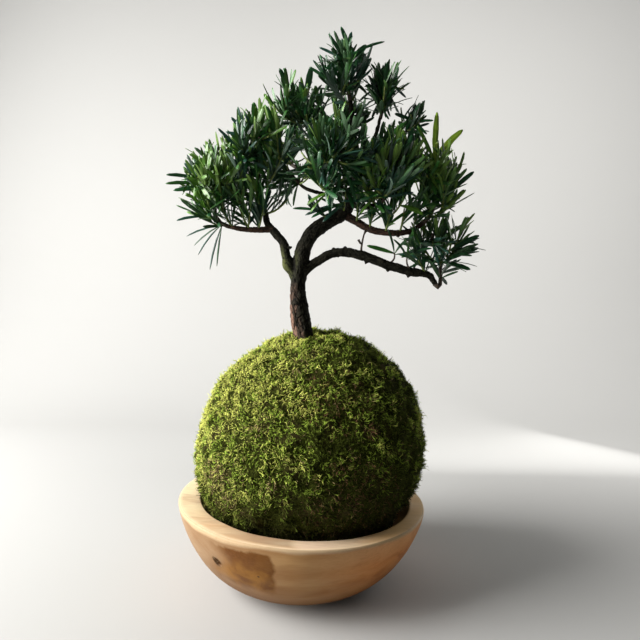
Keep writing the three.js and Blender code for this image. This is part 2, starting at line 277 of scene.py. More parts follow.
# Camera, light and floor.
studio = {
    "cameraSpot": (0.0148, -0.5, 0.259),
    "lookDown": math.atan(8 / 500),
    "roll": math.radians(1),
    "lens": 28.125,  # millimetres, as the sensor
    "sensor": 36,
    # name, where it hangs, what it points at, its width and height, its power
    "lights": [
        ("window", (-1.30, -0.30, 0.76), (0, 0, 0.28), (1.0, 1.3), 66.0),
        ("fill", (0.60, 0.38, 0.28), (0.05, 0, 0.12), (0.5, 0.5), 1.3),  # weak, back from the right
        ("wallLight", (0.7, 0.45, 0.75), (0.7, 1.45, 0.55), (1.4, 1.4), 7.5),  # lights only the wall
    ],
    "lightColour": (1.0, 0.985, 0.96),
    "skyColour": (0.93, 0.96, 1.0),
    "skyStrength": 0.05,
    "floorColour": (0.50, 0.50, 0.49),
    "floorNear": -3.0,
    "wallPlace": 1.1,  # behind the origin
    "wallRise": 2.6,
    "halfWidth": 4.0,
    "cornerRadius": 0.5,
    "cornerSteps": 8,
}


def makeCamera():
    camera = bpy.data.objects.new("camera", bpy.data.cameras.new("camera"))
    camera.data.lens = studio["lens"]
    camera.data.sensor_width = studio["sensor"]
    camera.data.clip_start = 0.01
    tilt = Euler((math.pi / 2 - studio["lookDown"], 0, 0)).to_matrix().to_4x4()
    roll = Matrix.Rotation(studio["roll"], 4, "Z")
    camera.matrix_world = Matrix.Translation(studio["cameraSpot"]) @ tilt @ roll
    bpy.context.scene.collection.objects.link(camera)
    bpy.context.scene.camera = camera


def makeLight(name, place, target, size, power):
    light = bpy.data.objects.new(name, bpy.data.lights.new(name, "AREA"))
    light.data.shape = "RECTANGLE"
    light.data.size, light.data.size_y = size
    light.data.energy = power
    light.data.color = studio["lightColour"]
    light.location = place
    light.rotation_euler = (Vector(target) - light.location).to_track_quat("-Z", "Y").to_euler()
    light.visible_camera = False
    bpy.context.scene.collection.objects.link(light)


def makeSky():
    scene = bpy.context.scene
    scene.world = bpy.data.worlds.new("room")
    scene.world.use_nodes = True
    sky = scene.world.node_tree.nodes["Background"]
    sky.inputs["Color"].default_value = (*studio["skyColour"], 1)
    sky.inputs["Strength"].default_value = studio["skyStrength"]
    scene.view_settings.view_transform = "Standard"


# A pale floor that curves up into a wall behind: a line drawn out sideways.
def makeFloor():
    bm = bmesh.new()
    half, radius, steps = studio["halfWidth"], studio["cornerRadius"], studio["cornerSteps"]
    corner = studio["wallPlace"] - radius
    spots = [(-half, studio["floorNear"], 0), (-half, corner, 0)]
    for step in range(1, steps + 1):
        turn = step / steps * math.pi / 2
        spots.append((-half, corner + radius * math.sin(turn), radius * (1 - math.cos(turn))))
    spots.append((-half, studio["wallPlace"], studio["wallRise"]))
    line = [bm.verts.new(spot) for spot in spots]
    edges = [bm.edges.new(pair) for pair in zip(line, line[1:])]
    swept = bmesh.ops.extrude_edge_only(bm, edges=edges)["geom"]
    farSide = [part for part in swept if isinstance(part, bmesh.types.BMVert)]
    bmesh.ops.translate(bm, vec=(2 * half, 0, 0), verts=farSide)
    bmesh.ops.recalc_face_normals(bm, faces=bm.faces[:])
    floor = bpy.data.objects.new("floor", meshOf(bm, "floor"))
    floor.data.shade_smooth()
    material, add, feed = newMaterial("palePaper", studio["floorColour"], 0.9)
    feed("Normal", bumped(add, cloudy(add, placed(add), 60.0), 0.0004, 0.3))
    floor.data.materials.append(material)
    bpy.context.scene.collection.objects.link(floor)


makeCamera()
for row in studio["lights"]:
    makeLight(*row)
makeSky()
makeFloor()
print("studio ready")

# Limbs. Each is a line of (x, y, z, radius), from where it leaves its parent to its tip.
limbs = {
    "trunk": [
        (0.002, -0.022, 0.222, 0.0096), (0, -0.022, 0.236, 0.0090), (-0.0038, -0.0205, 0.252, 0.0095),
        (-0.0060, -0.019, 0.268, 0.0083), (-0.0070, -0.018, 0.284, 0.0074), (-0.0052, -0.015, 0.304, 0.0081),
        (-0.002, -0.012, 0.321, 0.0075), (0.0065, -0.008, 0.337, 0.0077), (0.0215, -0.003, 0.349, 0.0077),
        (0.035, 0.001, 0.358, 0.0072),
        (0.045, 0.004, 0.374, 0.0062), (0.049, 0.006, 0.395, 0.005), (0.047, 0.006, 0.424, 0.0039),
        (0.044, 0.004, 0.45, 0.003), (0.041, 0.002, 0.47, 0.0023),
    ],
    "bough_left": [
        (-0.008, -0.017, 0.29, 0.0046), (-0.018, -0.015, 0.31, 0.0047), (-0.022, -0.013, 0.325, 0.0045),
        (-0.03, -0.011, 0.335, 0.0042), (-0.038, -0.009, 0.344, 0.0036), (-0.041, -0.007, 0.357, 0.003),
        (-0.045, -0.006, 0.372, 0.0025),
    ],
    "bough_left_reach": [
        (-0.033, -0.01, 0.339, 0.0028), (-0.048, -0.012, 0.338, 0.0027), (-0.062, -0.014, 0.338, 0.0025),
        (-0.076, -0.014, 0.3405, 0.0022),
    ],
    "bough_right": [
        (-0.003, -0.015, 0.298, 0.0046), (0.0115, -0.014, 0.3080, 0.0043), (0.023, -0.013, 0.3150, 0.0045),
        (0.037, -0.012, 0.3175, 0.0048), (0.054, -0.011, 0.315, 0.0049), (0.077, -0.01, 0.307, 0.0047),
        (0.103, -0.006, 0.3004, 0.0044), (0.123, -0.002, 0.297, 0.0037), (0.129, 0, 0.289, 0.0028),
    ],
    "bough_middle": [
        (0.036, 0.002, 0.358, 0.0038), (0.05, -0.001, 0.349, 0.0038), (0.063, -0.005, 0.3415, 0.0036),
        (0.077, -0.008, 0.338, 0.0034), (0.092, -0.008, 0.338, 0.0031), (0.104, -0.006, 0.341, 0.0028),
        (0.114, -0.005, 0.348, 0.0024),
    ],
    "bough_upper_left": [
        (0.049, 0.006, 0.4, 0.0032), (0.028, 0.003, 0.42, 0.0028), (0.009, 0.001, 0.432, 0.0022),
    ],
    "bough_upper_right": [
        (0.048, 0.006, 0.415, 0.0026), (0.065, 0.008, 0.432, 0.0023), (0.072, 0.008, 0.455, 0.0019),
    ],
    "bough_right_rise": [
        (0.049, 0.006, 0.396, 0.003), (0.073, 0.017, 0.417, 0.0025), (0.092, 0.023, 0.437, 0.002),
    ],
    "bough_front": [
        (0.046, 0.004, 0.376, 0.0032), (0.038, -0.014, 0.374, 0.0028), (0.03, -0.031, 0.376, 0.0022),
    ],
    "bough_front_right": [
        (0.042, 0.003, 0.369, 0.0032), (0.056, -0.011, 0.362, 0.0028), (0.067, -0.023, 0.362, 0.0022),
    ],
    "bough_inner_left": [
        (0.047, 0.005, 0.384, 0.0028), (0.025, 0.012, 0.378, 0.0024), (0.003, 0.017, 0.384, 0.002),
    ],
    "bough_back_left": [
        (0.049, 0.006, 0.389, 0.0032), (0.02, 0.027, 0.398, 0.0028), (-0.012, 0.05, 0.416, 0.0022),
    ],
    "bough_back": [
        (0.048, 0.006, 0.41, 0.003), (0.043, 0.026, 0.422, 0.0026), (0.038, 0.044, 0.44, 0.0021),
    ],
    "bough_back_right": [
        (0.049, 0.006, 0.385, 0.0032), (0.069, 0.03, 0.393, 0.0028), (0.087, 0.05, 0.408, 0.0022),
    ],
}
youngLimbs = ("bough_left_reach", "bough_middle")


def limbPath(name):
    return smoothPath([spot[:3] for spot in limbs[name]])


def limbRadius(name, shares):
    radii = [spot[3] for spot in limbs[name]]
    return np.interp(np.atleast_1d(shares) * (len(radii) - 1), range(len(radii)), radii)


bark = {
    "flatFoot": 0.232,  # level of the flat cut, under the moss
    "flareLobes": 3,
    "flareDepth": 0.10,
    "flareFade": 0.016,
    "collar": 0.45,  # swelling where a limb leaves its parent, as a share of its radius
    "collarFade": 0.006,
    "sides": 16,
    "trunkSides": 24,
    "step": 0.0022,
    "grid": 0.00065,
    "youngGrid": 0.00048,
    "beadStep": 0.0008,
    "plateAcross": 0.0040,
    "plateAlong": 0.0105,
    "plateLift": 0.0010,
    "plateCrack": 0.0010,
    "plateTop": 0.312,  # plates turn to finer scales above this level
    "plateFade": 0.02,
    "scaleAcross": 0.0027,
    "scaleAlong": 0.0058,
    "scaleDepth": 0.0008,
    "jitter": 0.0012,
    "fineDepth": 0.00016,
    "swell": 0.0005,
    "thickest": 0.0085,  # limbs of this radius have the full relief
    "ringStep": 0.0042,  # between the rings on a young limb
    "ringHeight": 0.00025,
    # painted light: the bark's red and green are painted bright only on the trunk's lit left side
    "litRedTop": 0.288,  # the lit side of the trunk is red below this level
    "litRedFade": 0.012,
    "litGreenSpot": (-0.021, -0.018, 0.305),  # and green on the left bough above it
    "litGreenReach": 0.020,
    # (x, y, z), radius, how far it stands out
    "knobs": [
        ((0.038, -0.012, 0.3229), 0.0032, 0.0024), ((0.0263, -0.013, 0.3219), 0.0030, 0.0020),
        ((0.0588, -0.011, 0.3082), 0.0030, 0.0024), ((0.0807, -0.009, 0.3018), 0.0028, 0.0026),
        ((0.101, -0.006, 0.2960), 0.0027, 0.0022), ((-0.0160, -0.016, 0.3205), 0.0024, 0.0036),
        ((-0.0055, -0.021, 0.3030), 0.0050, 0.0016), ((-0.0180, -0.017, 0.3035), 0.0095, 0.0028),
        ((-0.0790, -0.014, 0.3411), 0.0028, 0.0014), ((0.0480, -0.003, 0.3520), 0.0030, 0.0016),
        ((0.0900, -0.008, 0.3350), 0.0024, 0.0014), ((0.0030, -0.012, 0.3330), 0.0046, 0.0016),
    ],
}


# One limb as a tube: a ring closed by a face, drawn out step by step along the path.
def growTube(bm, path, radiusAt, sides, step):
    count = max(4, math.ceil(lengthOf(path) / step))
    shares = np.linspace(0, 1, count + 1)
    spots, headings = path(shares), headingAt(path, shares)
    across = Vector(headings[0]).orthogonal().normalized()
    ring = [Vector((math.cos(a), math.sin(a), 0)) for a in np.arange(sides) * 2 * math.pi / sides]

    def place(verts, i, across):
        heading = Vector(headings[i])
        across = (across - heading * across.dot(heading)).normalized()
        over = heading.cross(across)
        for vert, ringSpot in zip(verts, ring):
            aside = across * ringSpot.x + over * ringSpot.y
            vert.co = Vector(spots[i]) + aside * radiusAt(shares[i], ringSpot)
        return across

    verts = bmesh.ops.create_circle(bm, cap_ends=True, segments=sides, radius=1)["verts"]
    across = place(verts, 0, across)
    face = verts[0].link_faces[0]
    for i in range(1, count + 1):
        drawn = bmesh.ops.extrude_face_region(bm, geom=[face])["geom"]
        face = next(part for part in drawn if isinstance(part, bmesh.types.BMFace))
        # the new ring's corners in the old ring's order
        follow = {}
        for vert in face.verts:
            for edge in vert.link_edges:
                other = edge.other_vert(vert)
                if other in verts:
                    follow[other] = vert
        verts = [follow[vert] for vert in verts]
        across = place(verts, i, across)


def limbGirth(name, path):
    length = lengthOf(path)

    def radiusAt(share, ringSpot):
        radius = float(limbRadius(name, share)[0])
        if name == "trunk":
            height = float(path(share)[0][2]) - bark["flatFoot"]
            angle = math.atan2(ringSpot.y, ringSpot.x)
            lobes = 1 + math.cos(bark["flareLobes"] * angle)
            return radius * (1 + bark["flareDepth"] * math.exp(-max(0, height) / bark["flareFade"]) * lobes)
        return radius * (1 + bark["collar"] * math.exp(-share * length / bark["collarFade"]))

    return radiusAt


def barkPiece(name, names, grid, material):
    bm = bmesh.new()
    for limb in names:
        path = limbPath(limb)
        sides = bark["trunkSides"] if limb == "trunk" else bark["sides"]
        growTube(bm, path, limbGirth(limb, path), sides, bark["step"])
    if "trunk" in names:
        low = bmesh.ops.bisect_plane(bm, geom=bm.verts[:] + bm.edges[:] + bm.faces[:], clear_inner=True,
                                     plane_co=(0, 0, bark["flatFoot"]), plane_no=(0, 0, 1))
        edges = [part for part in low["geom_cut"] if isinstance(part, bmesh.types.BMEdge)]
        bmesh.ops.holes_fill(bm, edges=edges)
    bmesh.ops.recalc_face_normals(bm, faces=bm.faces[:])
    rough = bpy.data.objects.new(name + "Rough", meshOf(bm, name + "Rough"))
    bpy.context.scene.collection.objects.link(rough)
    remesh = rough.modifiers.new("remesh", "REMESH")
    remesh.mode = "VOXEL"
    remesh.voxel_size = grid
    smooth = rough.modifiers.new("smooth", "SMOOTH")
    smooth.iterations = 4
    mesh = bpy.data.meshes.new_from_object(rough.evaluated_get(bpy.context.evaluated_depsgraph_get()))
    mesh.name = name
    bpy.data.objects.remove(rough)
    carveBark(mesh, names)
    finishPiece(name, mesh, [barkMaterial(material)], names)
    print(name, len(mesh.polygons), "faces")


# Beads along the middle of each limb say how far along and round the limb a spot lies.
def limbBeads(names):
    beads = []
    for name in names:
        path = limbPath(name)
        length = lengthOf(path)
        shares = evenShares(path, bark["beadStep"])
        spots, headings = path(shares), headingAt(path, shares)
        across = Vector(headings[0]).orthogonal().normalized()
        for i, share in enumerate(shares):
            heading = Vector(headings[i])
            across = (across - heading * across.dot(heading)).normalized()
            beads.append((Vector(spots[i]), across, heading.cross(across), share * length,
                          float(limbRadius(name, share)[0]), name))
    tree = KDTree(len(beads))
    for i, bead in enumerate(beads):
        tree.insert(bead[0], i)
    tree.balance()
    return beads, tree


# How far the nearest crack is from a spot in a field of cells, and a number that stays with the cell.
def cellsAt(spot):
    distances, centres = noise.voronoi(spot)
    return distances[1] - distances[0], noise.cell(centres[0] * 3.7)


# A spot on the skin of a limb laid out flat, counted in cells of this width and length.
def inCells(lane, across, along):
    return Vector((lane.x / across, lane.y / across, lane.z / along))


# How far plates, scales and rings lift a spot, how deep in a crack it is, and the numbers of its plate
# and its scale. The lane is the spot laid out flat: x and y round the limb, z along it.
def barkRelief(spot, lane, thick, footShare, isYoung):
    warp = noise.noise_vector(lane * 220) * bark["jitter"] / bark["plateAcross"]
    plateGap, plate = cellsAt(inCells(lane, bark["plateAcross"], bark["plateAlong"]) + warp)
    scaleLane = inCells(lane, bark["scaleAcross"], bark["scaleAlong"])
    scaleGap, scale = cellsAt(scaleLane + warp * 1.4 + Vector((7, 3, 1)))
    plateCrack = max(0.0, 1 - plateGap / 0.16) * footShare
    scaleCrack = max(0.0, 1 - scaleGap / 0.20)
    size = 0.35 if isYoung else 0.35 + 0.65 * thick
    lift = (plate**2 - 0.3) * bark["plateLift"] * footShare - plateCrack**1.5 * bark["plateCrack"]
    scaleLift = ((scale - 0.4) * 0.7 - scaleCrack**1.4 * 0.9) * bark["scaleDepth"]
    lift += scaleLift * size * (1 - 0.55 * footShare)
    fine = noise.noise(spot * 1100) * 0.5 + noise.noise(spot * 2300) * 0.3
    lift += fine * bark["fineDepth"] * size + noise.noise(spot * 130) * bark["swell"] * (0.4 + 0.6 * thick)
    if isYoung:
        turn = lane.z / bark["ringStep"] * 2 * math.pi + scale * 2
        lift += max(0.0, math.sin(turn)) ** 6 * bark["ringHeight"]
    return lift, min(1, max(plateCrack, scaleCrack * 0.8)), plate, scale


# Lifts plates and scales of bark off the limb and cuts the cracks between them.
# Writes barkTone: how deep in a crack, the plate's own shade, and how much red and green is painted on the
# lit left side, as painted light.
def carveBark(mesh, names):
    beads, tree = limbBeads(names)
    count = len(mesh.vertices)
    tone = np.zeros((count, 4), np.float32)
    spots = np.empty((count, 3), np.float32)
    normals = np.empty((count, 3), np.float32)
    mesh.vertices.foreach_get("co", spots.reshape(-1))
    mesh.vertices.foreach_get("normal", normals.reshape(-1))
    rise = np.zeros(count)
    for i in range(count):
        spot = Vector(spots[i])
        middle, across, over, run, radius, limb = beads[tree.find(spot)[1]]
        away = spot - middle
        angle = math.atan2(away.dot(over), away.dot(across))
        lane = Vector((math.cos(angle) * radius, math.sin(angle) * radius, run))
        isTrunk = limb == "trunk"
        footShare = isTrunk * min(1, max(0, (bark["plateTop"] - spot.z) / bark["plateFade"]))
        thick = min(1.0, radius / bark["thickest"])
        lift, crack, plate, scale = barkRelief(spot, lane, thick, footShare, limb in youngLimbs)
        for place, reach, out in bark["knobs"]:
            near = (spot - Vector(place)).length / reach
            if near < 1:
                lift += out * (1 - near * near) ** 2
        rise[i] = lift
        # painted light: red and green go only on the side that faces the window
        litSide = min(1.0, max(0.0, (-away.x / radius + 0.15) * 1.4))
        litRed = isTrunk * litSide * min(1.0, max(0.0, (bark["litRedTop"] - spot.z) / bark["litRedFade"]))
        toGreen = (spot - Vector(bark["litGreenSpot"])).length
        green = litSide * max(0.0, 1 - toGreen / bark["litGreenReach"])
        tone[i] = (crack, 0.65 * scale + 0.35 * plate, litRed * (0.5 + 0.5 * plate), green)
    if "trunk" in names:
        rise[spots[:, 2] < bark["flatFoot"] + 0.0015] = 0
    spots += normals * rise[:, None]
    mesh.vertices.foreach_set("co", spots.reshape(-1))
    attribute = mesh.attributes.new("barkTone", "FLOAT_COLOR", "POINT")
    attribute.data.foreach_set("color", tone.reshape(-1))
    mesh.update()


# red and green are the bark's own tints, painted much brighter on the lit left side as painted light
barkTints = {
    "barkBrown": {"plain": (0.008, 0.008, 0.004), "flake": (0.027, 0.024, 0.015), "litRed": (0.22, 0.125, 0.090),
                  "crack": (0.002, 0.0015, 0.001), "roughness": 0.85},
    "barkRed": {"plain": (0.042, 0.020, 0.013), "flake": (0.095, 0.044, 0.028), "litRed": (0.11, 0.04, 0.022),
                "crack": (0.007, 0.004, 0.003), "roughness": 0.75},
    "green": (0.115, 0.130, 0.040),
    "dust": (0.20, 0.18, 0.13),
}


def barkMaterial(name):
    tints = barkTints[name]
    plain = tints["plain"]
    material, add, feed = newMaterial(name, plain, tints["roughness"], Specular_IOR_Level=0.15)
    tone = add("Attribute", attribute_name="barkTone")
    crack, plate, litRed = add("SeparateColor", {"Color": tone.outputs["Color"]}).outputs
    place = placed(add)
    fine = cloudy(add, place, 900.0, 4.0, 0.65)
    patch = cloudy(add, place, 150.0, 3.0)
    colour = tinted(add, ranged(add, plate, 0.25, 0.8), plain, tints["flake"])
    colour = tinted(add, ranged(add, patch, 0.42, 0.62, 0.0, 0.55), colour, tuple(c * 0.5 for c in plain))
    # painted light: the lit left side turns bright red low on the trunk and bright green on the left bough
    colour = tinted(add, litRed, colour, tints["litRed"])
    colour = tinted(add, worked(add, "MULTIPLY", tone.outputs["Alpha"], 0.8), colour, barkTints["green"])
    dusty = tinted(add, 0.25, colour, barkTints["dust"])
    colour = tinted(add, ranged(add, fine, 0.40, 0.7, 0.0, 0.5), colour, dusty)
    # the cracks are painted near black: partly the bark's own dark, partly painted shade in the recesses
    colour = tinted(add, ranged(add, crack, 0.1, 0.8), colour, tints["crack"])
    feed("Base Color", colour)
    feed("Normal", bumped(add, worked(add, "ADD", fine, patch), 0.0006, 0.7))
    return material


oldLimbs = [name for name in limbs if name not in youngLimbs]
barkPiece("trunkAndBoughs", oldLimbs, bark["grid"], "barkBrown")
barkPiece("youngBoughs", youngLimbs, bark["youngGrid"], "barkRed")

# Masses of leaves. Each grows from the tip of its limb; its shoots end on a dome of half-size spread
# round its heart, at least the distance apart from each other, and its leaves end within its reach
# across, back and up. Youth above 1 gives it more young shoots, with paler leaves. The youth is partly
# painted light: it is set high for masses that the window leaves in shade and low for those that face it.
masses = {
    "leaves_far_left": {"on": "bough_left_reach", "heart": (-0.087, -0.01, 0.386),
                        "spread": (0.032, 0.027, 0.028), "reach": (0.042, 0.045, 0.040),
                        "shoots": 9, "seed": 11, "youthAndLight": 4.5, "apart": 0.0108},
    "leaves_left": {"on": "bough_left", "heart": (-0.046, -0.012, 0.418),
                    "spread": (0.027, 0.027, 0.031), "reach": (0.042, 0.042, 0.047),
                    "shoots": 8, "seed": 12, "youthAndLight": 3.6, "apart": 0.0104},
    "leaves_upper_left": {"on": "bough_upper_left", "heart": (-0.01, 0, 0.46),
                          "spread": (0.026, 0.025, 0.024), "reach": (0.032, 0.042, 0.034),
                          "shoots": 6, "seed": 13, "youthAndLight": 0.4, "apart": 0.0134},
    "leaves_top": {"on": "trunk", "heart": (0.034, 0, 0.495),
                   "spread": (0.02, 0.023, 0.03), "reach": (0.029, 0.038, 0.038),
                   "shoots": 8, "seed": 14, "youthAndLight": 0.3, "apart": 0.0112},
    "leaves_upper_right": {"on": "bough_upper_right", "heart": (0.075, 0.008, 0.484),
                           "spread": (0.02, 0.022, 0.019), "reach": (0.027, 0.036, 0.026),
                           "shoots": 6, "seed": 15, "youthAndLight": 1.0, "apart": 0.0118},
    "leaves_right_rise": {"on": "bough_right_rise", "heart": (0.108, 0.026, 0.46),
                          "spread": (0.02, 0.022, 0.017), "reach": (0.021, 0.036, 0.019),
                          "shoots": 5, "seed": 16, "youthAndLight": 1.0, "apart": 0.0118},
    "leaves_front": {"on": "bough_front", "heart": (0.024, -0.05, 0.396),
                     "spread": (0.03, 0.022, 0.035), "reach": (0.046, 0.044, 0.047),
                     "shoots": 8, "seed": 17, "youthAndLight": 0.5, "apart": 0.0088},
    "leaves_front_right": {"on": "bough_front_right", "heart": (0.076, -0.037, 0.386),
                           "spread": (0.028, 0.022, 0.033), "reach": (0.038, 0.041, 0.048),
                           "shoots": 8, "seed": 18, "youthAndLight": 1.2, "apart": 0.0088},
    "leaves_right": {"on": "bough_middle", "heart": (0.124, -0.005, 0.398),
                     "spread": (0.025, 0.025, 0.033), "reach": (0.031, 0.046, 0.030),
                     "shoots": 8, "seed": 19, "youthAndLight": 6.0, "apart": 0.0118},
    "leaves_low_right": {"on": "bough_right", "heart": (0.132, 0.004, 0.329),
                         "spread": (0.027, 0.023, 0.018), "reach": (0.047, 0.044, 0.036),
                         "shoots": 5, "seed": 20, "youthAndLight": 1.4, "apart": 0.0128},
    "leaves_inner_left": {"on": "bough_inner_left", "heart": (-0.016, 0.019, 0.4),
                          "spread": (0.022, 0.02, 0.022), "reach": (0.040, 0.030, 0.028),
                          "shoots": 5, "seed": 21, "youthAndLight": 0.7, "apart": 0.0110},
    "leaves_back_left": {"on": "bough_back_left", "heart": (-0.034, 0.066, 0.436),
                         "spread": (0.028, 0.026, 0.026), "reach": (0.044, 0.050, 0.040),
                         "shoots": 5, "seed": 22, "youthAndLight": 1.0, "apart": 0.0096},
    "leaves_back": {"on": "bough_back", "heart": (0.034, 0.062, 0.466),
                    "spread": (0.026, 0.024, 0.026), "reach": (0.040, 0.042, 0.044),
                    "shoots": 5, "seed": 23, "youthAndLight": 0.5, "apart": 0.0096},
    "leaves_back_right": {"on": "bough_back_right", "heart": (0.099, 0.068, 0.427),
                          "spread": (0.028, 0.026, 0.026), "reach": (0.045, 0.046, 0.036),
                          "shoots": 5, "seed": 24, "youthAndLight": 1.0, "apart": 0.0096},
}
# Shoots that show from the front, as (foot, tip, age). The rule below fills in the rest.
leadShoots = {
    "leaves_far_left": [
        ((-0.056, -0.012, 0.344), (-0.076, -0.024, 0.402), "young"),
        ((-0.078, -0.016, 0.363), (-0.105, -0.014, 0.387), "blue"),
        ((-0.087, -0.016, 0.340), (-0.096, -0.022, 0.356), "young"),
        ((-0.074, -0.005, 0.363), (-0.094, 0.002, 0.412), "old"),
        ((-0.070, -0.013, 0.340), (-0.083, -0.022, 0.362), "old"),
        ((-0.079, -0.012, 0.342), (-0.102, -0.010, 0.352), "old"),
        ((-0.064, -0.018, 0.352), (-0.060, -0.030, 0.384), "blue"),
        ((-0.057, -0.012, 0.340), (-0.053, -0.022, 0.363), "green"),
        ((-0.048, -0.011, 0.340), (-0.041, -0.020, 0.358), "blue"),
    ],
    "leaves_left": [
        ((-0.038, -0.008, 0.355), (-0.036, -0.018, 0.430), "young"),
        ((-0.043, -0.008, 0.384), (-0.060, -0.004, 0.431), "green"),
        ((-0.037, -0.014, 0.377), (-0.021, -0.028, 0.413), "blue"),
        ((-0.045, 0.000, 0.398), (-0.053, 0.008, 0.447), "old"),
        ((-0.040, -0.008, 0.356), (-0.019, -0.010, 0.368), "blue"),
        ((-0.041, -0.008, 0.352), (-0.048, -0.022, 0.372), "green"),
        ((-0.042, -0.006, 0.360), (-0.062, 0.004, 0.378), "old"),
    ],
    "leaves_upper_left": [
        ((-0.015, 0.000, 0.445), (-0.020, -0.004, 0.477), "old"),
        ((-0.011, 0.004, 0.442), (-0.003, 0.006, 0.477), "blue"),
        ((-0.017, -0.006, 0.438), (-0.032, -0.012, 0.456), "green"),
    ],
    "leaves_top": [
        ((0.042, -0.002, 0.473), (0.036, -0.006, 0.503), "old"),
        ((0.036, -0.002, 0.465), (0.016, -0.008, 0.491), "blue"),
        ((0.043, 0.004, 0.469), (0.054, 0.006, 0.503), "blue"),
    ],
    "leaves_upper_right": [
        ((0.071, 0.008, 0.457), (0.071, 0.004, 0.497), "old"),
        ((0.072, 0.008, 0.461), (0.083, 0.006, 0.489), "green"),
    ],
    "leaves_right_rise": [
        ((0.093, 0.022, 0.449), (0.104, 0.022, 0.469), "old"),
        ((0.100, 0.026, 0.452), (0.120, 0.026, 0.467), "old"),
        ((0.096, 0.024, 0.447), (0.094, 0.016, 0.470), "old"),
    ],
    "leaves_front": [
        ((0.018, -0.046, 0.376), (0.012, -0.064, 0.404), "green"),
        ((0.026, -0.044, 0.387), (0.029, -0.052, 0.422), "green"),
        ((0.022, -0.026, 0.360), (0.014, -0.040, 0.372), "young"),
        ((0.014, -0.034, 0.384), (-0.006, -0.036, 0.377), "old"),
        ((0.030, -0.012, 0.359), (0.010, -0.020, 0.356), "blue"),
        ((0.036, -0.006, 0.362), (0.037, -0.030, 0.376), "old"),
        ((0.034, -0.020, 0.372), (0.040, -0.040, 0.394), "green"),
    ],
    "leaves_front_right": [
        ((0.067, -0.026, 0.355), (0.053, -0.044, 0.373), "young"),
        ((0.057, -0.038, 0.371), (0.045, -0.056, 0.411), "blue"),
        ((0.084, -0.036, 0.374), (0.079, -0.052, 0.406), "young"),
        ((0.064, -0.038, 0.362), (0.080, -0.056, 0.372), "blue"),
        ((0.050, -0.001, 0.352), (0.049, -0.022, 0.364), "old"),
        ((0.063, -0.005, 0.344), (0.064, -0.020, 0.364), "green"),
        ((0.077, -0.008, 0.340), (0.080, -0.022, 0.358), "green"),
    ],
    "leaves_right": [
        ((0.116, -0.008, 0.355), (0.123, -0.016, 0.414), "bright"),
        ((0.123, -0.008, 0.369), (0.142, -0.008, 0.389), "green"),
        ((0.120, -0.005, 0.356), (0.140, -0.004, 0.366), "young"),
        ((0.118, 0.000, 0.361), (0.109, 0.008, 0.393), "green"),
        ((0.113, -0.008, 0.355), (0.097, -0.014, 0.364), "young"),
        ((0.092, -0.008, 0.340), (0.094, -0.018, 0.360), "old"),
        ((0.104, -0.006, 0.343), (0.108, -0.014, 0.368), "old"),
    ],
    "leaves_low_right": [
        ((0.131, 0.000, 0.306), (0.129, -0.007, 0.336), "green"),
        ((0.131, 0.000, 0.309), (0.151, 0.004, 0.328), "old"),
        ((0.131, 0.000, 0.311), (0.112, -0.006, 0.329), "old"),
        ((0.122, -0.002, 0.299), (0.108, -0.012, 0.316), "old"),
    ],
}
